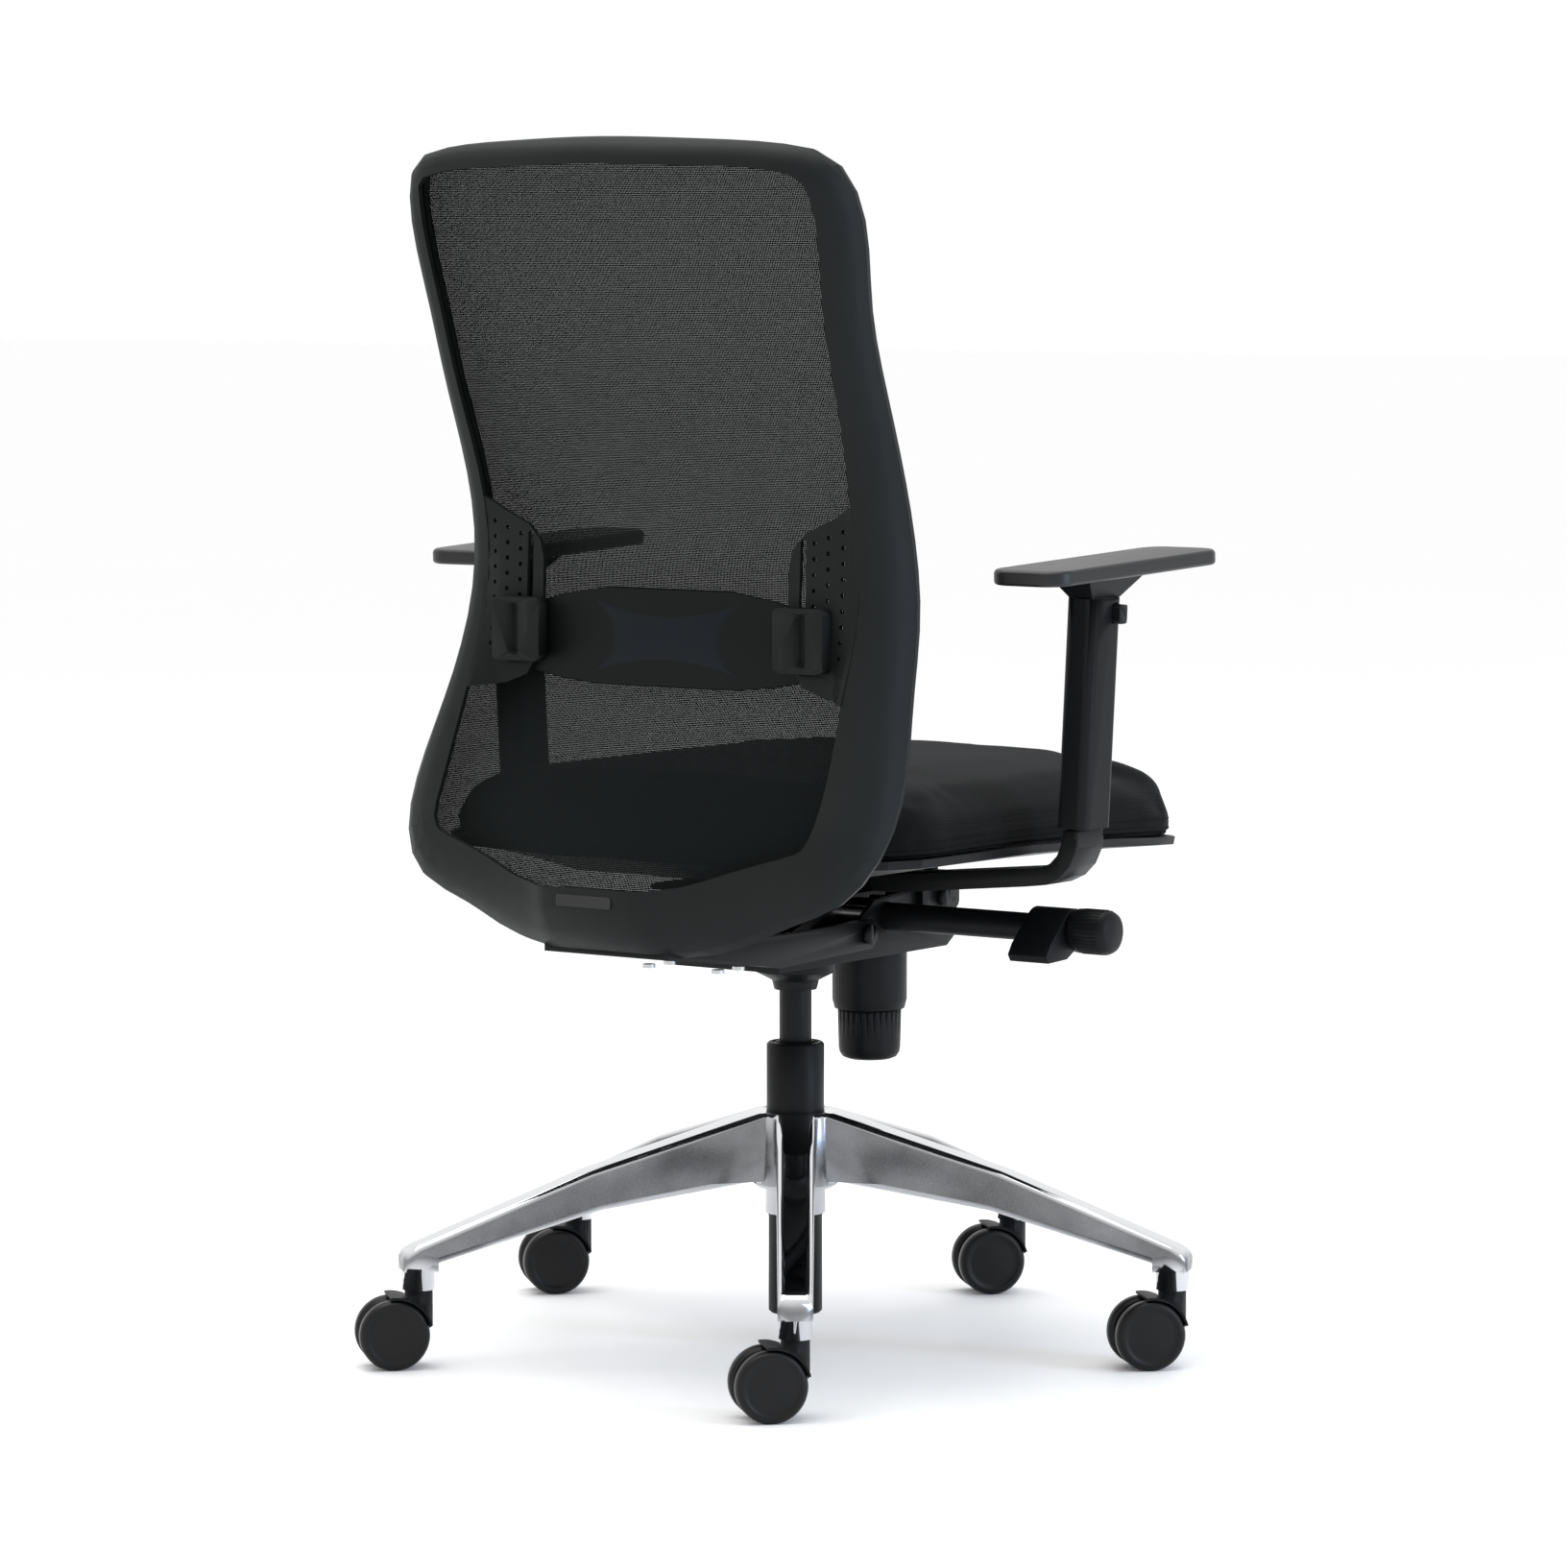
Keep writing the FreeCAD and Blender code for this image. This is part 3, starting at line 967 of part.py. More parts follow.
def slot_insert():
    """Dark insert in the pocket at the top of the lower band."""
    y = RIM_LOW[-1][1] + BAND_D
    z = RIM_LOW[-1][2] + BAND_W - 11
    return rounded_box(-INSERT_HALF_W, INSERT_HALF_W, y - 9, y - 0.5, z - INSERT_H / 2, z + INSERT_H / 2, 2,
                       along="y")


# ---------------------------------------------------------------- all the nodes
def model():
    nodes = {}
    nodes["base_star"] = base_star()
    nodes["caster_stems"] = Part.makeCompound([placed_on_arm(caster_stem(), b) for b in ARM_BEARINGS])
    nodes["column_tube"] = column_tube()
    nodes["column_bushing"] = column_bushing()
    nodes["thrust_bearing"] = thrust_bearing()
    nodes["piston_rod"] = piston_rod()
    nodes["rod_clip"] = rod_clip()
    nodes["gas_cylinder"] = gas_cylinder()
    nodes["valve_pin"] = valve_pin()
    for number, bearing in enumerate(ARM_BEARINGS, 1):
        wheel = caster_wheel()
        nodes["caster_%d_housing" % number] = placed_on_arm(caster_housing(), bearing)
        nodes["caster_%d_axle" % number] = placed_on_arm(caster_axle(), bearing)
        nodes["caster_%d_wheel_left" % number] = placed_on_arm(wheel, bearing)
        nodes["caster_%d_wheel_right" % number] = placed_on_arm(fixed(wheel.mirror(vec(0, 0, 0), vec(0, 1, 0))), bearing)
    nodes["mechanism_housing"] = mechanism_housing()
    nodes["tension_tower"] = tension_tower()
    nodes["tension_knob"] = tension_knob()
    nodes["tension_bolt"] = tension_bolt()
    nodes["tension_spring"] = tension_spring()
    nodes["pivot_pins"] = pivot_pins()
    nodes["lever_tube"] = lever_tube()
    nodes["paddle_shaft"] = paddle_shaft()
    nodes["height_paddle"] = height_paddle()
    nodes["lock_knob"] = lock_knob()
    frame = whole_ring(frame_section)
    insert = slot_insert()
    nodes["back_frame"] = frame.cut(insert)
    nodes["slot_insert"] = insert
    nodes["mesh_carrier"] = whole_ring(carrier_section)
    nodes["back_yoke"] = back_yoke(nodes["back_frame"], nodes["mesh_carrier"])
    nodes["back_mesh"] = back_mesh().cut(nodes["mesh_carrier"]).cut(nodes["back_frame"])
    wing = wing_bracket(nodes["back_frame"])
    nodes["lumbar_bracket_left"] = wing
    nodes["lumbar_bracket_right"] = fixed(mirrored(wing))
    nodes["lumbar_pad"] = lumbar_pad()
    nodes["lumbar_grips"] = lumbar_grips()
    nodes["seat_plate"] = seat_plate()
    nodes["seat_shell"] = seat_shell()
    nodes["seat_cushion"] = seat_cushion()
    nodes["seat_bolts"] = seat_bolts()
    arm_pieces = {"arm_bracket": arm_bracket(), "arm_sleeve": arm_sleeve(), "arm_button": arm_button(),
                  "arm_pad": arm_pad()}
    for name, shape in arm_pieces.items():
        nodes[name + "_left"] = shape
        nodes[name + "_right"] = fixed(mirrored(shape))
    nodes["seat_plate"] = nodes["seat_plate"].cut(nodes["seat_bolts"])
    return nodes


os.makedirs("parts", exist_ok=True)
for node, shape in model().items():
    shape.exportStep("parts/%s.step" % node)
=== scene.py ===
"""Looks of a swivel office chair, added to its packed mechanical model."""
import json
import math
import bmesh
import bpy
from bpy.props import FloatProperty, FloatVectorProperty, IntProperty, PointerProperty
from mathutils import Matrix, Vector
from mathutils.bvhtree import BVHTree


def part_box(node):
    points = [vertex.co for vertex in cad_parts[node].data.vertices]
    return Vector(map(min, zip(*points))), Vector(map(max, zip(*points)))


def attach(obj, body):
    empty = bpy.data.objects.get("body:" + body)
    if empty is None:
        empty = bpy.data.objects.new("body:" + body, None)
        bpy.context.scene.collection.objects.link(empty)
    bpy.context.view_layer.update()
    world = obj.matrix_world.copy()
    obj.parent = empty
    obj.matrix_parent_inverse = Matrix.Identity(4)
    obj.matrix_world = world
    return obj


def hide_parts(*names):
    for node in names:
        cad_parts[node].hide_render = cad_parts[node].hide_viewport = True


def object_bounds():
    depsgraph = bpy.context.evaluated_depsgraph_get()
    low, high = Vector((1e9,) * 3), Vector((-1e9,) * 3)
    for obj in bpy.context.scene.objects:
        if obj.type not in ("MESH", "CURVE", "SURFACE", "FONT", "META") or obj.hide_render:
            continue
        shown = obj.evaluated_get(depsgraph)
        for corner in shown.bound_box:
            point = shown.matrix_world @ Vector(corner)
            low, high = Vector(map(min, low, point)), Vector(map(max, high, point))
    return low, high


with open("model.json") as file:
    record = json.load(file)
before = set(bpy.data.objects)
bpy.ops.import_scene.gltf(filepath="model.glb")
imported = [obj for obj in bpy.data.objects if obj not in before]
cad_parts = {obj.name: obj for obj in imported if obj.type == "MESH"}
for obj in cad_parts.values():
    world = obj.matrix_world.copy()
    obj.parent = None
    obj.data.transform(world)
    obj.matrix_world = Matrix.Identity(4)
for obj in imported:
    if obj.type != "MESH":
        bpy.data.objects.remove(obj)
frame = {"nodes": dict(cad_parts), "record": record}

bl_info = {
    "name": "Swivel office chair",
    "version": (1, 0, 0),
    "blender": (4, 5, 0),
    "location": "View3D > Sidebar > Chair",
    "description": "Builds the upholstery, small hardware, finishes and studio of a swivel office chair",
    "category": "Add Mesh",
}

NODES = frame["nodes"]
BODIES = frame["record"]["behaviour"]["bodies"]
SLOTS = {s["node"]: s["material_slot"] for s in frame["record"]["subparts"]}
CAD_BOX = [list(corner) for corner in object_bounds()]
CAD_LOW, CAD_HIGH = (Vector(corner) for corner in CAD_BOX)
MM = 0.001
CASTERS = range(1, 6)


def body_of_node(node):
    return next(body for body, members in BODIES.items() if node in members)


# ---------------------------------------------------------------- sizes and colours a user may change
def colour(name, words, value):
    return FloatVectorProperty(name=name, description=words, subtype="COLOR", size=3, min=0, max=1, default=value)


def length(name, words, value):
    return FloatProperty(name=name, description=words, subtype="DISTANCE", unit="LENGTH", min=0, default=value)


class ChairColours(bpy.types.PropertyGroup):
    frame: colour("Frame", "Colour of the back frame and lumbar parts", (0.0088, 0.0104, 0.0104))
    net: colour("Mesh", "Colour of the back's woven mesh", (0.0050, 0.0064, 0.0064))
    seat: colour("Seat", "Colour of the seat's upholstery", (0.0030, 0.0034, 0.0036))
    plastic: colour("Plastic", "Colour of the plastic under the seat", (0.0050, 0.0054, 0.0062))
    steel: colour("Coated steel", "Colour of the powder coated steel", (0.0035, 0.0038, 0.0042))
    base: colour("Base", "Colour of the polished base", (0.78, 0.79, 0.81))
    floor: colour("Floor", "Colour of the studio floor", (0.985, 0.985, 0.985))


class ChairSizes(bpy.types.PropertyGroup):
    fill: FloatProperty(name="Seat pressure", description="Pressure that plumps the seat", default=4.0, min=0)
    plump: length("Seat plumpness", "Most that the seat's cover may swell", 0.008)
    net_gauge: length("Mesh gauge", "Thickness of the back's mesh", 0.0002)
    net_pitch: length("Mesh pitch", "Spacing of the mesh's threads", 0.0014)
    net_opening: FloatProperty(name="Mesh opening", description="Share of the pitch left open between threads",
                               default=0.43, min=0, max=1)
    stitch: length("Stitch", "Length of one seam stitch", 0.0045)
    welt: length("Welt", "Radius of the seat's welt", 0.0022)
    screw: length("Screw head", "Radius of a screw head", 0.0055)
    ribs: IntProperty(name="Grip ribs", description="Ribs round the lock knob", default=36, min=3)


def colours():
    return bpy.context.scene.chair_colours


def sizes():
    return bpy.context.scene.chair_sizes


# ---------------------------------------------------------------- shader maths
class Value:
    """A node's output that takes part in Python arithmetic."""

    def __init__(self, sheet, socket):
        self.sheet, self.socket = sheet, socket

    def maths(self, operation, *others):
        return self.sheet.node("ShaderNodeMath", {"operation": operation}, dict(enumerate(others)))

    def __add__(self, other):
        return self.maths("ADD", self, other)

    def __sub__(self, other):
        return self.maths("SUBTRACT", self, other)

    def __rsub__(self, other):
        return self.maths("SUBTRACT", other, self)

    def __mul__(self, other):
        return self.maths("MULTIPLY", self, other)

    def __truediv__(self, other):
        return self.maths("DIVIDE", self, other)

    def __pow__(self, other):
        return self.maths("POWER", self, other)

    def __gt__(self, other):
        return self.maths("GREATER_THAN", self, other)

    def __lt__(self, other):
        return self.maths("LESS_THAN", self, other)

    def __abs__(self):
        return self.maths("ABSOLUTE", self)

    __radd__ = __add__
    __rmul__ = __mul__


class Finish:
    """One material: its node tree, its surface shader and the means to add nodes to it."""

    def __init__(self, name, **constants):
        self.material = bpy.data.materials.new(name)
        self.material.use_nodes = True
        self.tree = self.material.node_tree
        self.surface = next(n for n in self.tree.nodes if n.type == "BSDF_PRINCIPLED")
        for socket, value in constants.items():
            self.surface.inputs[socket.replace("_", " ").title().replace("Ior", "IOR")].default_value = value

    def node(self, kind, settings=None, inputs=None, output=0):
        made = self.tree.nodes.new(kind)
        for key, value in (settings or {}).items():
            if key == "stops":
                self.stops(made.color_ramp, value)
            else:
                setattr(made, key, value)
        for key, value in (inputs or {}).items():
            socket = made.inputs[key]
            if isinstance(value, Value):
                self.tree.links.new(value.socket, socket)
            else:
                socket.default_value = value
        return Value(self, made.outputs[output])

    @staticmethod
    def stops(ramp, stops):
        for index, (place, shade) in enumerate(stops):
            element = ramp.elements[index] if index < 2 else ramp.elements.new(place)
            element.position = place
            element.color = (*shade, 1)

    def place(self):
        return self.node("ShaderNodeTexCoord", output="Object")

    def axes(self):
        split = self.node("ShaderNodeSeparateXYZ", None, {0: self.place()})
        return [Value(self, out) for out in split.socket.node.outputs]

    def noise(self, scale, detail=3.0, roughness=0.5, place=None):
        return self.node("ShaderNodeTexNoise", None, {"Vector": place or self.place(), "Scale": scale,
                                                      "Detail": detail, "Roughness": roughness})

    def mix(self, share, low, high):
        def shade(value):
            return value if isinstance(value, Value) else (*value[:3], 1)
        return self.node("ShaderNodeMix", {"data_type": "RGBA"}, {0: share, 6: shade(low), 7: shade(high)}, output=2)

    def feed(self, socket, value):
        self.tree.links.new(value.socket, self.surface.inputs[socket])

    def relief(self, height, strength, depth):
        bump = self.node("ShaderNodeBump", None, {"Strength": strength, "Distance": depth, "Height": height})
        self.feed("Normal", bump)


def scaled(value, factor):
    return tuple(min(c * factor, 1.0) for c in value)


def moulded(name, tone, rough, grain=900.0, depth=0.00012, **constants):
    """Moulded plastic or powder coat: fine grain, slight change of tone and gloss."""
    look = Finish(name, **constants)
    broad, fine = look.noise(9.0, 4.0), look.noise(grain, 2.0)
    look.feed("Base Color", look.mix(broad, scaled(tone, 0.82), scaled(tone, 1.2)))
    look.feed("Roughness", rough - 0.05 + 0.1 * broad)
    look.relief(fine, 0.35, depth)
    return look.material


def polished_aluminium(name):
    """Cast aluminium: bright and mirror-like on its upper faces, softer on its flanks, whose colour is darkened with
    painted shade by the way they face.
    """
    look = Finish(name, metallic=1.0)
    broad, fine = look.noise(16.0, 4.0), look.noise(420.0, 2.0)
    facing = look.node("ShaderNodeNewGeometry", output="Normal")
    upward = Value(look, look.node("ShaderNodeSeparateXYZ", None, {0: facing}).socket.node.outputs["Z"])
    # share of flank by facing: drives both the softer satin gloss and the painted shade on the flanks
    flank_satin_and_shade = look.node("ShaderNodeMapRange", None, {"Value": abs(upward), "From Min": 0.62, "From Max": 0.12,
                                                   "To Min": 0.0, "To Max": 1.0})
    tone = tuple(colours().base)
    # painted shade: flank colour darkened to 0.13-0.34 of the metal's tone, standing in for dark reflections on the
    # sides
    side = look.mix(broad * 1.5 - 0.25, scaled(tone, 0.13), scaled(tone, 0.34))
    look.feed("Base Color", look.mix(flank_satin_and_shade, scaled(tone, 0.97), side))
    look.feed("Roughness", 0.05 + flank_satin_and_shade * (0.17 + 0.12 * fine))
    look.relief(broad + 0.15 * fine, 0.10, 0.0006)
    return look.material


def brushed_steel(name):
    look = Finish(name, metallic=1.0)
    stretched = look.node("ShaderNodeMapping", None, {"Vector": look.place(), "Scale": (1, 1, 30)})
    lines = look.noise(120.0, 3.0, place=stretched)
    look.feed("Base Color", look.mix(lines, (0.42, 0.42, 0.43), (0.66, 0.66, 0.67)))
    look.feed("Roughness", 0.24 + 0.16 * lines)
    return look.material


def threads(look, along, pitch):
    """A rounded ridge for each thread across one coordinate, 0 to 1."""
    return abs((along * (math.pi / pitch)).maths("SINE", along * (math.pi / pitch)))


def woven(name, tone, pitch, rough, axes=(0, 2), thread_hollow_shade=0.55, opening=0.0, **constants):
    """Plain weave: two sets of threads that pass over and under one another, with painted shade darkening the hollows
    between them.
    """
    look = Finish(name, **constants)
    parts = look.axes()
    warp, weft = threads(look, parts[axes[0]], pitch), threads(look, parts[axes[1]], pitch)
    height = warp.maths("MAXIMUM", warp, weft * 0.86)
    broad = look.noise(11.0, 3.0)
    lint = look.noise(420.0, 2.0)
    # painted shade: colour darkens in the hollows between threads and lightens on their crowns; the two noises add
    # random tone and lint
    shade = (height * thread_hollow_shade + (1 - thread_hollow_shade) * 0.7 + 0.25 * (broad - 0.5) + 0.2 * (lint - 0.5))
    look.feed("Base Color", look.mix(shade, scaled(tone, 0.35), scaled(tone, 1.45)))
    look.feed("Roughness", rough + 0.12 * (broad - 0.5))
    look.relief(height + 0.3 * lint, 0.5, pitch * 0.3)
    if opening:
        look.feed("Alpha", 1 - (warp < opening) * (weft < opening))
    return look.material


def lumbar_rubber(name):
    """Soft matt band with a raised four-pointed panel in the middle."""
    look = Finish(name, specular_ior_level=0.12)
    x, y, z = look.axes()
    across = abs(x) / 0.074
    up = abs(z - 0.626) / 0.030
    side = 0.72 + 0.28 * up * up - across
    ends = 0.60 + 0.40 * across * across - up
    inside = side.maths("MINIMUM", side, ends)
    panel = look.node("ShaderNodeMapRange", None, {"Value": inside, "From Min": -0.03, "From Max": 0.06,
                                                   "To Min": 0.0, "To Max": 1.0})
    broad = look.noise(18.0, 3.0)
    dark, pale = scaled(tuple(colours().frame), 0.45), (0.0050, 0.0080, 0.0110)
    look.feed("Base Color", look.mix(panel, dark, pale))
    look.feed("Roughness", 0.52 - 0.14 * panel + 0.08 * (broad - 0.5))
    look.relief(panel + 0.05 * look.noise(700.0, 2.0), 0.6, 0.0012)
    return look.material


LOOKS = {}


def look_of(slot):
    """The material of a slot, made when it is first asked for."""
    if slot in LOOKS:
        return LOOKS[slot]
    tone = colours()
    makers = {
        "polished_aluminium": lambda n: polished_aluminium(n),
        "black_plastic": lambda n: moulded(n, tuple(tone.plastic), 0.45, specular_ior_level=0.14),
        "frame_plastic": lambda n: moulded(n, tuple(tone.frame), 0.5, specular_ior_level=0.12),
        "mesh_fabric": lambda n: woven(n, tuple(tone.net), sizes().net_pitch, 0.9, opening=sizes().net_opening, sheen_weight=0.02,
                                       sheen_roughness=0.5, specular_ior_level=0.06),
        "seat_fabric": lambda n: woven(n, tuple(tone.seat), 0.0016, 0.86, axes=(0, 1), sheen_weight=0.05,
                                       sheen_roughness=0.4, specular_ior_level=0.08),
        "black_steel": lambda n: moulded(n, tuple(tone.steel), 0.42, grain=1500.0, specular_ior_level=0.16),
        "bright_steel": lambda n: brushed_steel(n),
        "pad_foam": lambda n: moulded(n, (0.0045, 0.0048, 0.0052), 0.4, grain=1100.0, depth=0.0002,
                                      specular_ior_level=0.4),
        "caster_tread": lambda n: moulded(n, (0.0025, 0.0025, 0.0028), 0.4, grain=700.0, specular_ior_level=0.25),
        "lumbar_rubber": lambda n: lumbar_rubber(n),
        "pocket_black": lambda n: moulded(n, (0.004, 0.004, 0.005), 0.6),
        "seam_thread": lambda n: moulded(n, (0.004, 0.0043, 0.0045), 0.8, grain=2500.0, specular_ior_level=0.1),
    }
    LOOKS[slot] = makers[slot](slot)
    return LOOKS[slot]


def wear(obj, slot):
    obj.data.materials.clear()
    obj.data.materials.append(look_of(slot))


# ---------------------------------------------------------------- meshes
def new_piece(name, mesh, slot, body):
    """An object with its finish, riding on its body."""
    obj = bpy.data.objects.new(name, mesh)
    bpy.context.scene.collection.objects.link(obj)
    wear(obj, slot)
    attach(obj, body)
    return obj


def merged_copy(node):
    """A node's mesh with its loose triangles joined."""
    source = bmesh.new()
    source.from_mesh(NODES[node].data)
    bmesh.ops.remove_doubles(source, verts=source.verts, dist=0.00002)
    return source


def smooth_copy(node, angle=32.0, flat=False):
    """Mesh of a node shaded smoothly across its curved faces and sharply at its edges."""
    source = merged_copy(node)
    if flat:
        bmesh.ops.dissolve_limit(source, angle_limit=math.radians(0.6), verts=source.verts, edges=source.edges)
    mesh = bpy.data.meshes.new(node + "_shape")
    source.to_mesh(mesh)
    source.free()
    mesh.polygons.foreach_set("use_smooth", [True] * len(mesh.polygons))
    mesh.set_sharp_from_angle(angle=math.radians(angle))
    return mesh


def finished(obj):
    """Apply what modifiers are on an object and return its plain mesh."""
    graph = bpy.context.evaluated_depsgraph_get()
    mesh = bpy.data.meshes.new_from_object(obj.evaluated_get(graph), depsgraph=graph)
    obj.modifiers.clear()
    obj.data = mesh
    return mesh


def dressed(node, slot=None, angle=32.0, edge=0.0, steps=2):
    """A smooth-shaded stand-in for a node, with its sharp edges broken where edge is given."""
    slot = slot or SLOTS[node]
    piece = new_piece(node + "_skin", smooth_copy(node, angle, flat=edge > 0), slot, body_of_node(node))
    if edge:
        bevel = piece.modifiers.new("Broken edges", "BEVEL")
        bevel.width, bevel.segments, bevel.limit_method = edge, steps, "ANGLE"
        bevel.angle_limit = math.radians(angle)
        bevel.use_clamp_overlap = True
        finished(piece)
        piece.data.polygons.foreach_set("use_smooth", [True] * len(piece.data.polygons))
        piece.data.set_sharp_from_angle(angle=math.radians(angle + 12))
    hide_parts(node)
    return piece


def surface_of(obj):
    """A copy of an object's surface to cast rays at."""
    return BVHTree.FromPolygons([v.co for v in obj.data.vertices], [tuple(p.vertices) for p in obj.data.polygons])


def tube_along(points, radius, closed=True, sides=8):
    """Mesh of a round tube that follows points."""
    line = bmesh.new()
    rings = []
    count = len(points)
    for index, point in enumerate(points):
        ahead = points[(index + 1) % count] if closed or index + 1 < count else point
        behind = points[index - 1] if closed or index else point
        along = (ahead - behind).normalized()
        side = along.cross(Vector((0, 0, 1))).normalized()
        up = side.cross(along)
        rings.append([line.verts.new(point + radius * (math.cos(a) * side + math.sin(a) * up))
                      for a in (2 * math.pi * k / sides for k in range(sides))])
    last = count if closed else count - 1
    for index in range(last):
        low, high = rings[index], rings[(index + 1) % count]
        for k in range(sides):
            line.faces.new((low[k], low[(k + 1) % sides], high[(k + 1) % sides], high[k]))
    if not closed:
        line.faces.new(rings[0][::-1])
        line.faces.new(rings[-1])
    bmesh.ops.recalc_face_normals(line, faces=line.faces)
    mesh = bpy.data.meshes.new("tube")
    line.to_mesh(mesh)
    line.free()
    mesh.polygons.foreach_set("use_smooth", [True] * len(mesh.polygons))
    return mesh


# ---------------------------------------------------------------- geometry node trees
class Pattern:
    """A Geometry Nodes tree with named inputs that ends in real, finished geometry."""

    def __init__(self, name, **inputs):
        self.tree = bpy.data.node_groups.new(name, "GeometryNodeTree")
        face = self.tree.interface
        face.new_socket("Geometry", in_out="INPUT", socket_type="NodeSocketGeometry")
        for label, value in inputs.items():
            kind = "NodeSocketInt" if isinstance(value, int) else "NodeSocketFloat"
            face.new_socket(label, in_out="INPUT", socket_type=kind).default_value = value
        face.new_socket("Geometry", in_out="OUTPUT", socket_type="NodeSocketGeometry")
        self.start = self.tree.nodes.new("NodeGroupInput")
        self.end = self.tree.nodes.new("NodeGroupOutput")

    def given(self, label):
        return self.start.outputs[label]

    def node(self, kind, settings=None, inputs=None, output=0):
        made = self.tree.nodes.new(kind)
        for key, value in (settings or {}).items():
            setattr(made, key, value)
        for key, value in (inputs or {}).items():
            for one in value if isinstance(value, list) else [value]:
                if isinstance(one, bpy.types.NodeSocket):
                    self.tree.links.new(one, made.inputs[key])
                else:
                    made.inputs[key].default_value = one
        return made.outputs[output]

    def finish(self, geometry, material):
        real = self.node("GeometryNodeRealizeInstances", None, {"Geometry": geometry})
        dressed_geometry = self.node("GeometryNodeSetMaterial", None, {"Geometry": real, "Material": material})
        self.tree.links.new(dressed_geometry, self.end.inputs["Geometry"])
        return self.tree


def grown(name, tree, mesh, values, slot, body):
    """The plain mesh that a tree makes of a mesh, as a finished piece."""
    obj = bpy.data.objects.new(name, mesh)
    bpy.context.scene.collection.objects.link(obj)
    modifier = obj.modifiers.new(tree.name, "NODES")
    modifier.node_group = tree
    for item in tree.interface.items_tree:
        if item.in_out == "INPUT" and item.name in values:
            modifier[item.identifier] = values[item.name]
    finished(obj)
    obj.data.polygons.foreach_set("use_smooth", [True] * len(obj.data.polygons))
    obj.data.set_sharp_from_angle(angle=math.radians(40))
    wear(obj, slot)
    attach(obj, body)
    return obj


def points_mesh(places, facings):
    """Loose points that carry the direction each copy faces."""
    mesh = bpy.data.meshes.new("points")
    mesh.from_pydata([tuple(p) for p in places], [], [])
    facing = mesh.attributes.new("facing", "FLOAT_VECTOR", "POINT")
    for index, direction in enumerate(facings):
        facing.data[index].vector = direction
    return mesh


def screw_tree(slot):
    """Round screw head with a six-sided socket, one on each point."""
    p = Pattern("Screw heads", Radius=0.0055, Height=0.003)
    head = p.node("GeometryNodeMeshCylinder", None, {"Vertices": 20, "Radius": p.given("Radius"),
                                                     "Depth": p.given("Height")})
    across = p.node("ShaderNodeMath", {"operation": "MULTIPLY"}, {0: p.given("Radius"), 1: 0.5})
    key = p.node("GeometryNodeMeshCylinder", None, {"Vertices": 6, "Radius": across, "Depth": p.given("Height")})
    lift = p.node("ShaderNodeMath", {"operation": "MULTIPLY"}, {0: p.given("Height"), 1: 0.6})
    raised = p.node("ShaderNodeCombineXYZ", None, {"Z": lift})
    key = p.node("GeometryNodeTransform", None, {"Geometry": key, "Translation": raised})
    screw = p.node("GeometryNodeMeshBoolean", {"operation": "DIFFERENCE"}, {"Mesh 1": head, "Mesh 2": key})
    facing = p.node("GeometryNodeInputNamedAttribute", {"data_type": "FLOAT_VECTOR"}, {"Name": "facing"})
    turn = p.node("FunctionNodeAlignRotationToVector", {"axis": "Z"}, {"Vector": facing})
    placed = p.node("GeometryNodeInstanceOnPoints", None, {"Points": p.given("Geometry"), "Instance": screw,
                                                           "Rotation": turn})
    return p.finish(placed, look_of(slot))


def stitch_tree(slot):
    """Short rounded stitches laid end to end along a line."""
    p = Pattern("Seam stitches", Stitch=0.0045, Thread=0.0005)
    line = p.node("GeometryNodeMeshToCurve", None, {"Mesh": p.given("Geometry")})
    step = p.node("ShaderNodeMath", {"operation": "MULTIPLY"}, {0: p.given("Stitch"), 1: 1.35})
    points = p.node("GeometryNodeCurveToPoints", {"mode": "LENGTH"}, {"Curve": line, "Length": step})
    turn = points.node.outputs["Rotation"]
    thread = p.node("GeometryNodeMeshCylinder", None, {"Vertices": 6, "Radius": p.given("Thread"),
                                                       "Depth": p.given("Stitch")})
    placed = p.node("GeometryNodeInstanceOnPoints", None, {"Points": points, "Instance": thread, "Rotation": turn})
    return p.finish(placed, look_of(slot))


def rib_tree(slot):
    """Straight ribs evenly round an axis along X."""
    p = Pattern("Grip ribs", Count=36, Radius=0.019, Rib=0.0008, Length=0.02)
    ring = p.node("GeometryNodeMeshCircle", None, {"Vertices": p.given("Count"), "Radius": p.given("Radius")})
    ring = p.node("GeometryNodeTransform", None, {"Geometry": ring, "Rotation": (0, math.pi / 2, 0)})
    rib = p.node("GeometryNodeMeshCylinder", None, {"Vertices": 8, "Radius": p.given("Rib"),
                                                    "Depth": p.given("Length")})
    rib = p.node("GeometryNodeTransform", None, {"Geometry": rib, "Rotation": (0, math.pi / 2, 0)})
    placed = p.node("GeometryNodeInstanceOnPoints", None, {"Points": ring, "Instance": rib})
    moved = p.node("GeometryNodeInstanceOnPoints", None, {"Points": p.given("Geometry"), "Instance": placed})
    return p.finish(moved, look_of(slot))


# ---------------------------------------------------------------- seat
def seat_start():
    """The cushion's CAD form, drawn in a little so that pressure can plump it."""
    low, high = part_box("seat_cushion")
    shape = merged_copy("seat_cushion")
    middle = (low + high) / 2
    for v in shape.verts:
        v.co.x = middle.x + (v.co.x - middle.x) * 0.985
        v.co.y = middle.y + (v.co.y - middle.y) * 0.985
        share = (v.co.z - low.z) / (high.z - low.z)
        v.co.z -= 0.004 * share
    mesh = bpy.data.meshes.new("seat_pad_shape")
    shape.to_mesh(mesh)
    shape.free()
    obj = bpy.data.objects.new("seat_pad", mesh)
    bpy.context.scene.collection.objects.link(obj)
    remesh = obj.modifiers.new("Even skin", "REMESH")
    remesh.mode, remesh.voxel_size = "VOXEL", 0.0055
    finished(obj)
    return obj


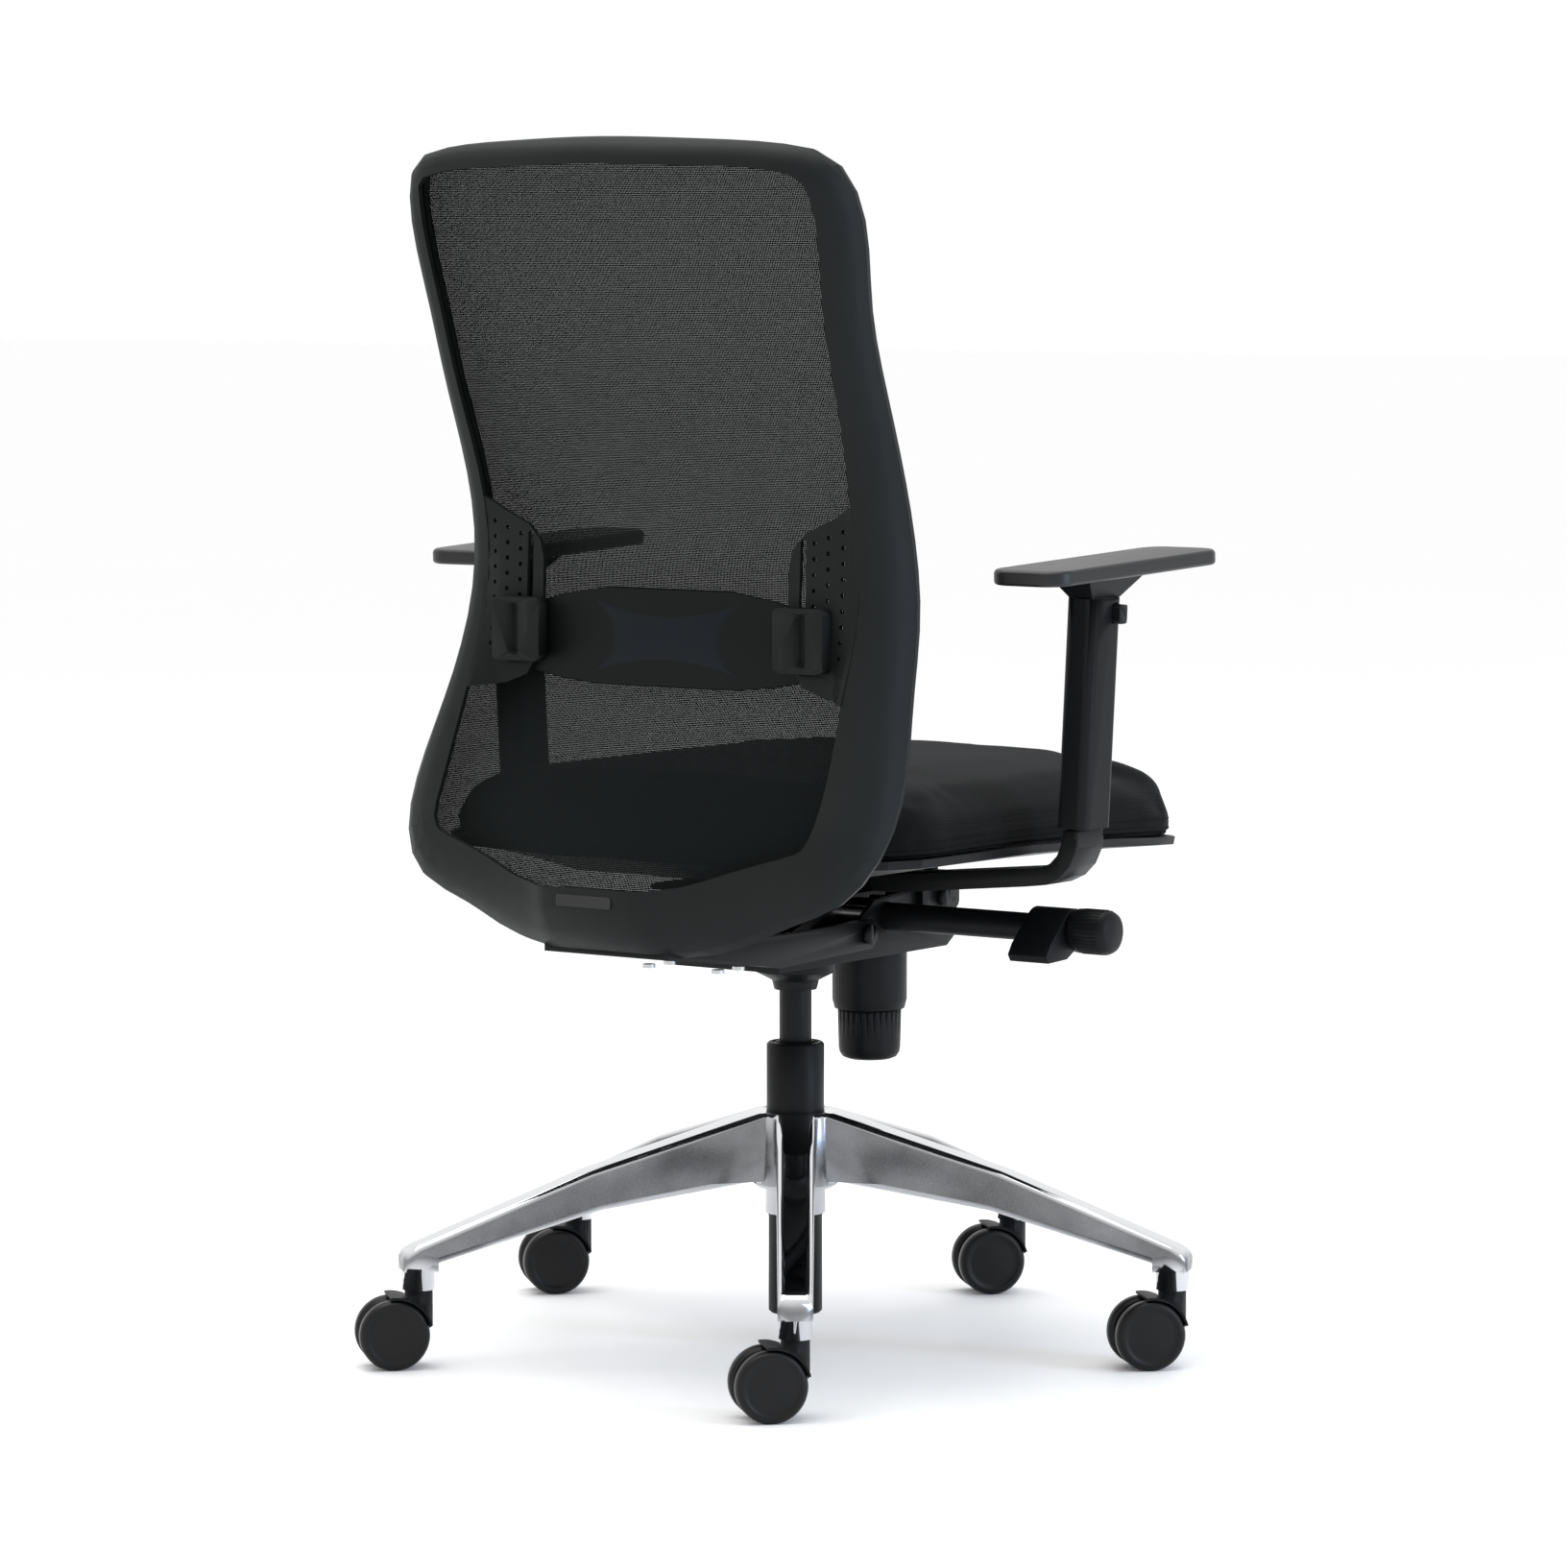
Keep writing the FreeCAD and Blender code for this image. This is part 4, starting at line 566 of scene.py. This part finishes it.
def plumped(obj, pinned, pressure, most):
    """Inflate a closed cover by cloth simulation and keep the movement within a limit."""
    group = obj.vertex_groups.new(name="held")
    group.add([v.index for v in obj.data.vertices if pinned(v.co)], 1.0, "REPLACE")
    before = [v.co.copy() for v in obj.data.vertices]
    cloth = obj.modifiers.new("Cover", "CLOTH")
    settings = cloth.settings
    settings.use_pressure, settings.uniform_pressure_force = True, pressure
    settings.effector_weights.gravity = 0
    settings.vertex_group_mass = "held"
    settings.tension_stiffness = settings.compression_stiffness = 30
    settings.bending_stiffness = 6
    cloth.point_cache.frame_start, cloth.point_cache.frame_end = 1, 20
    scene = bpy.context.scene
    for number in range(1, 21):
        scene.frame_set(number)
    graph = bpy.context.evaluated_depsgraph_get()
    after = [v.co.copy() for v in obj.evaluated_get(graph).data.vertices]
    obj.modifiers.clear()
    scene.frame_set(1)
    for v, was, now in zip(obj.data.vertices, before, after):
        shift = now - was
        v.co = was + shift * min(1.0, most / max(shift.length, 1e-6))
    obj.vertex_groups.clear()
    return obj


def relaxed(obj, rounds, strength=0.5):
    """Even out a mesh without moving its open ends."""
    smooth = obj.modifiers.new("Relaxed", "SMOOTH")
    smooth.factor, smooth.iterations = strength, rounds
    finished(obj)


def kept_inside(obj, low, high, margin):
    for v in obj.data.vertices:
        for axis in range(3):
            v.co[axis] = min(max(v.co[axis], low[axis] - margin), high[axis] + margin)


def seat_outline(surface, height, count=220):
    """Points round the cushion's side where level rays meet it at the height given for each place."""
    low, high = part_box("seat_cushion")
    centre = (low + high) / 2
    points = []
    for k in range(count):
        angle = 2 * math.pi * k / count
        outward = Vector((math.cos(angle), math.sin(angle), 0))
        reach = 0.45
        y = centre.y + outward.y * 0.24
        start = Vector((centre.x, centre.y, height(y))) + outward * reach
        hit = surface.ray_cast(start, -outward)[0]
        if hit:
            points.append((hit, outward))
    return points


def seat_seam_height(y):
    """The seam keeps its distance from the cushion's edge, which dips towards the front."""
    dip = min(max((0.04 - y) / 0.33, 0.0), 1.0)
    return 0.4565 - 0.017 * dip ** 1.6


def seat_pieces():
    low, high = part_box("seat_cushion")
    pad = plumped(seat_start(), lambda co: co.z < seat_seam_height(co.y) - 0.003, sizes().fill, sizes().plump)
    relaxed(pad, 8)
    kept_inside(pad, low, high, 0.0015)
    subdivision = pad.modifiers.new("Fine skin", "SUBSURF")
    subdivision.levels = subdivision.render_levels = 1
    finished(pad)
    surface = surface_of(pad)
    outward = [v.normal.copy() for v in pad.data.vertices]
    for v, normal in zip(pad.data.vertices, outward):
        depth = abs(v.co.z - seat_seam_height(v.co.y))
        outer = max(abs(v.co.x) / 0.25, abs(v.co.y + 0.03) / 0.26)
        if depth < 0.006 and outer > 0.55:
            v.co -= normal * 0.0016 * (1 - depth / 0.006) ** 2
    pad.data.polygons.foreach_set("use_smooth", [True] * len(pad.data.polygons))
    wear(pad, "seat_fabric")
    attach(pad, "seat")
    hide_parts("seat_cushion")
    seam = seat_outline(surface, seat_seam_height)
    welt = [point - outward * 0.0014 for point, outward in seam]
    new_piece("seat_welt", tube_along(welt, sizes().welt), "seam_thread", "seat")
    rows = seat_outline(surface, lambda y: seat_seam_height(y) + 0.0085)
    line = bpy.data.meshes.new("stitch_line")
    count = len(rows)
    line.from_pydata([tuple(point + outward * 0.0002) for point, outward in rows],
                     [(k, (k + 1) % count) for k in range(count)], [])
    grown("seat_stitches", stitch_tree("seam_thread"), line, {"Stitch": sizes().stitch, "Thread": 0.0005},
          "seam_thread", "seat")


# ---------------------------------------------------------------- back
def rim_half(edges, z):
    """Half width of the back's trim ring where a level plane crosses its edges."""
    widest = 0.0
    for a, b in edges:
        if (a.z - z) * (b.z - z) < 0:
            widest = max(widest, abs(a.x + (b.x - a.x) * (z - a.z) / (b.z - a.z)))
    return widest


def net_grid(columns=56, rows=96, hem=8):
    """Front face of the back's mesh, sampled from its CAD form and carried on to the ring and into the lower band."""
    node, ring, trim = merged_copy("back_mesh"), merged_copy("back_frame"), merged_copy("mesh_carrier")
    edges = [(e.verts[0].co.copy(), e.verts[1].co.copy()) for e in trim.edges]
    trim.free()
    tree, wall = BVHTree.FromBMesh(node), BVHTree.FromBMesh(ring)
    low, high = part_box("back_mesh")
    forward = Vector((0, 1, 0))
    grid = []
    for row in range(-hem, rows + 1):
        z = low.z + 0.002 + (high.z - low.z - 0.004) * row / rows
        sampled = max(z, low.z + 0.002)
        half = max(rim_half(edges, z) - 0.0055, 0.1)
        line = []
        for column in range(columns + 1):
            x = half * (2 * column / columns - 1)
            inner = x
            hit = tree.ray_cast(Vector((inner, -0.5, sampled)), forward)[0]
            while hit is None:
                inner *= 0.99
                hit = tree.ray_cast(Vector((inner, -0.5, sampled)), forward)[0]
            y = hit.y - 0.12 * (sampled - z)
            behind = wall.ray_cast(Vector((x, y - 0.02, z)), forward)[0]
            if behind:
                y = min(y, behind.y - 0.0022)
            line.append(y)
        grid.append((z, half, line))
    node.free()
    ring.free()
    halves = [half for _, half, _ in grid]
    for _ in range(3):
        halves = [halves[0]] + [(a + 2 * b + c) / 4 for a, b, c in zip(halves, halves[1:], halves[2:])] + [halves[-1]]
    return [(z, min(half, was), line) for (z, was, line), half in zip(grid, halves)]


def evened(grid, rounds=45):
    depths = [line for _, _, line in grid]
    rows, columns = len(depths), len(depths[0])
    for _ in range(rounds):
        fresh = [list(line) for line in depths]
        for r in range(1, rows - 1):
            for c in range(1, columns - 1):
                fresh[r][c] = (depths[r][c] * 2 + depths[r - 1][c] + depths[r + 1][c] + depths[r][c - 1]
                               + depths[r][c + 1]) / 6
        depths = fresh
    return [(z, half, line) for (z, half, _), line in zip(grid, depths)]


def net_pieces():
    grid = evened(net_grid())
    columns = len(grid[0][2]) - 1
    points = [(half * (2 * c / columns - 1), line[c], z) for z, half, line in grid for c in range(columns + 1)]
    wide = columns + 1
    faces = [(r * wide + c, r * wide + c + 1, (r + 1) * wide + c + 1, (r + 1) * wide + c)
             for r in range(len(grid) - 1) for c in range(columns)]
    mesh = bpy.data.meshes.new("back_net_shape")
    mesh.from_pydata(points, [], faces)
    area = sum(p.area for p in mesh.polygons)
    net = new_piece("back_net", mesh, "mesh_fabric", "back")
    skin = net.modifiers.new("Gauge", "SOLIDIFY")
    skin.thickness, skin.offset = sizes().net_gauge, -1.0
    finished(net)
    net.data.polygons.foreach_set("use_smooth", [True] * len(net.data.polygons))
    net.data.set_sharp_from_angle(angle=math.radians(40))
    low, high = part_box("back_mesh")
    widest = 2 * max(half for _, half, _ in grid)
    flat = (widest, max(area / widest, high.z - low.z) * 1.04)
    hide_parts("back_mesh")


# ---------------------------------------------------------------- hardware
def bolts_facing(places, facing, name, body, radius, height, slot="bright_steel"):
    tree = bpy.data.node_groups.get("Screw heads") or screw_tree(slot)
    mesh = points_mesh(places, [facing] * len(places))
    return grown(name, tree, mesh, {"Radius": radius, "Height": height}, slot, body)


# ---------------------------------------------------------------- operators
class Task:
    """What every step of the chair's building shares."""
    bl_options = {"REGISTER", "UNDO"}

    def execute(self, context):
        self.build()
        return {"FINISHED"}


class CHAIR_OT_finishes(Task, bpy.types.Operator):
    """Give every mechanical piece its finish"""
    bl_idname = "chair.finishes"
    bl_label = "Finishes"

    def build(self):
        for node, obj in NODES.items():
            wear(obj, SLOTS[node])
        wear(NODES["slot_insert"], "pocket_black")


class CHAIR_OT_base(Task, bpy.types.Operator):
    """Base, column and casters"""
    bl_idname = "chair.base"
    bl_label = "Base and casters"

    def build(self):
        dressed("base_star", angle=38)
        dressed("column_tube", angle=30)
        dressed("gas_cylinder", angle=30)
        for number in CASTERS:
            dressed("caster_%d_housing" % number, angle=30)
            for side in ("left", "right"):
                dressed("caster_%d_wheel_%s" % (number, side), angle=28)


class CHAIR_OT_mechanism(Task, bpy.types.Operator):
    """Mechanism under the seat with its levers and knobs"""
    bl_idname = "chair.mechanism"
    bl_label = "Mechanism"

    def build(self):
        dressed("mechanism_housing", edge=0.0015, angle=30)
        dressed("back_yoke", edge=0.002, angle=30)
        dressed("tension_tower", angle=30)
        dressed("tension_knob", angle=30)
        dressed("tension_spring", angle=40)
        dressed("lever_tube", angle=30)
        dressed("height_paddle", edge=0.002, angle=30)
        dressed("lock_knob", angle=30)
        dressed("pivot_pins", angle=30)


class CHAIR_OT_seat(Task, bpy.types.Operator):
    """Upholstered seat with its welt and stitching, its shell and plate"""
    bl_idname = "chair.seat"
    bl_label = "Seat"

    def build(self):
        dressed("seat_shell", angle=24)
        dressed("seat_plate", edge=0.0006, angle=30)
        seat_pieces()


class CHAIR_OT_back(Task, bpy.types.Operator):
    """Back frame, woven mesh and lumbar support"""
    bl_idname = "chair.back"
    bl_label = "Back"

    def build(self):
        dressed("back_frame", angle=34)
        dressed("mesh_carrier", angle=34)
        for side in ("left", "right"):
            dressed("lumbar_bracket_" + side, angle=30)
        dressed("lumbar_pad", slot="lumbar_rubber", angle=30, edge=0.0012)
        dressed("lumbar_grips", angle=30)
        net_pieces()


class CHAIR_OT_arms(Task, bpy.types.Operator):
    """Armrests with their sliding sleeves, buttons and pads"""
    bl_idname = "chair.arms"
    bl_label = "Armrests"

    def build(self):
        for side in ("left", "right"):
            dressed("arm_bracket_" + side, edge=0.002, angle=26)
            dressed("arm_sleeve_" + side, angle=30)
            dressed("arm_pad_" + side, angle=30)
            dressed("arm_button_" + side, angle=30)


class CHAIR_OT_hardware(Task, bpy.types.Operator):
    """Screw heads and grip ribs"""
    bl_idname = "chair.hardware"
    bl_label = "Hardware"

    def build(self):
        head = sizes().screw
        low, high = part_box("back_yoke")
        under = [Vector((x, y, low.z + 0.0006)) for x in (-0.036, 0.036) for y in (0.135, 0.165)]
        bolts_facing(under, (0, 0, -1), "yoke_screws", "back", head, 0.0032)
        pad_low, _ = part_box("arm_pad_left")
        for side, sign in (("left", 1), ("right", -1)):
            places = [Vector((sign * 0.297, y, pad_low.z + 0.0035 + (0.03 - y) * 0.04)) for y in (-0.085, 0.065)]
            bolts_facing(places, (0, 0, -1), "pad_screws_" + side, "arm_" + side, head * 0.8, 0.002)
        knob_low, knob_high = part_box("lock_knob")
        centre = (knob_low + knob_high) / 2
        anchor = points_mesh([Vector((knob_low.x + 0.019, centre.y, centre.z))], [(0, 0, 1)])
        radius = (knob_high.z - knob_low.z) / 2
        grown("knob_ribs", rib_tree("black_plastic"), anchor,
              {"Count": sizes().ribs, "Radius": radius - 0.0002, "Rib": 0.0007, "Length": 0.022}, "black_plastic", "lock")


class CHAIR_OT_studio(Task, bpy.types.Operator):
    """Floor, lights and camera"""
    bl_idname = "chair.studio"
    bl_label = "Studio"

    def build(self):
        studio_floor()
        studio_lights()
        studio_camera()


def studio_floor():
    mesh = bpy.data.meshes.new("studio_floor")
    reach = 40.0
    mesh.from_pydata([(-reach, -reach, 0), (reach, -reach, 0), (reach, reach, 0), (-reach, reach, 0)], [], [(0, 1, 2, 3)])
    floor = bpy.data.objects.new("studio_floor", mesh)
    bpy.context.scene.collection.objects.link(floor)
    look = Finish("studio_floor", roughness=0.55, specular_ior_level=0.2)
    tone = tuple(colours().floor)
    look.feed("Base Color", look.mix(look.noise(0.7, 2.0), scaled(tone, 0.99), scaled(tone, 1.01)))
    floor.data.materials.append(look.material)


def softbox(name, place, target, size, power, tint):
    data = bpy.data.lights.new(name, "AREA")
    data.shape, data.size, data.size_y = "RECTANGLE", size[0], size[1]
    data.energy, data.color = power, tint
    light = bpy.data.objects.new(name, data)
    bpy.context.scene.collection.objects.link(light)
    light.location = place
    light.rotation_euler = (Vector(target) - Vector(place)).to_track_quat("-Z", "Y").to_euler()


def studio_lights():
    world = bpy.data.worlds.new("Studio")
    bpy.context.scene.world = world
    world.use_nodes = True
    world.node_tree.nodes["Background"].inputs["Color"].default_value = (1.0, 1.0, 1.0, 1)
    world.node_tree.nodes["Background"].inputs["Strength"].default_value = 1.0
    softbox("Overhead", (0.4, 0.2, 3.6), (0, 0, 0.5), (3.2, 3.2), 95, (1, 1, 1))
    softbox("Right strip", (-3.4, -0.6, 1.3), (0, 0.1, 0.7), (0.7, 2.4), 45, (0.55, 0.72, 1.0))


def studio_camera():
    data = bpy.data.cameras.new("Camera")
    data.lens, data.sensor_width = 139.4, 36.0
    data.clip_start, data.clip_end = 0.1, 200.0
    camera = bpy.data.objects.new("Camera", data)
    bpy.context.scene.collection.objects.link(camera)
    camera.location = (-2.9975, 4.2809, 0.958)
    aim = Vector((0.0081, 0.0057, 0.490)) - camera.location
    camera.rotation_euler = aim.to_track_quat("-Z", "Y").to_euler()
    bpy.context.scene.camera = camera
    bpy.context.scene.view_settings.view_transform = "Standard"


STEPS = (CHAIR_OT_finishes, CHAIR_OT_base, CHAIR_OT_mechanism, CHAIR_OT_seat, CHAIR_OT_back, CHAIR_OT_arms,
         CHAIR_OT_hardware, CHAIR_OT_studio)


class CHAIR_PT_panel(bpy.types.Panel):
    """The chair's building steps, sizes and colours"""
    bl_idname = "CHAIR_PT_panel"
    bl_label = "Swivel office chair"
    bl_space_type = "VIEW_3D"
    bl_region_type = "UI"
    bl_category = "Chair"

    def draw(self, context):
        for step in STEPS:
            self.layout.operator(step.bl_idname)
        for group in (context.scene.chair_sizes, context.scene.chair_colours):
            for key in group.bl_rna.properties.keys():
                if key not in ("rna_type", "name"):
                    self.layout.prop(group, key)


CLASSES = (ChairColours, ChairSizes) + STEPS + (CHAIR_PT_panel,)


def register():
    for cls in CLASSES:
        bpy.utils.register_class(cls)
    bpy.types.Scene.chair_colours = PointerProperty(type=ChairColours)
    bpy.types.Scene.chair_sizes = PointerProperty(type=ChairSizes)


def unregister():
    del bpy.types.Scene.chair_colours
    del bpy.types.Scene.chair_sizes
    for cls in reversed(CLASSES):
        bpy.utils.unregister_class(cls)


def main():
    register()
    for step in STEPS:
        group, name = step.bl_idname.split(".")
        getattr(getattr(bpy.ops, group), name)()


if __name__ == "__main__":
    main()
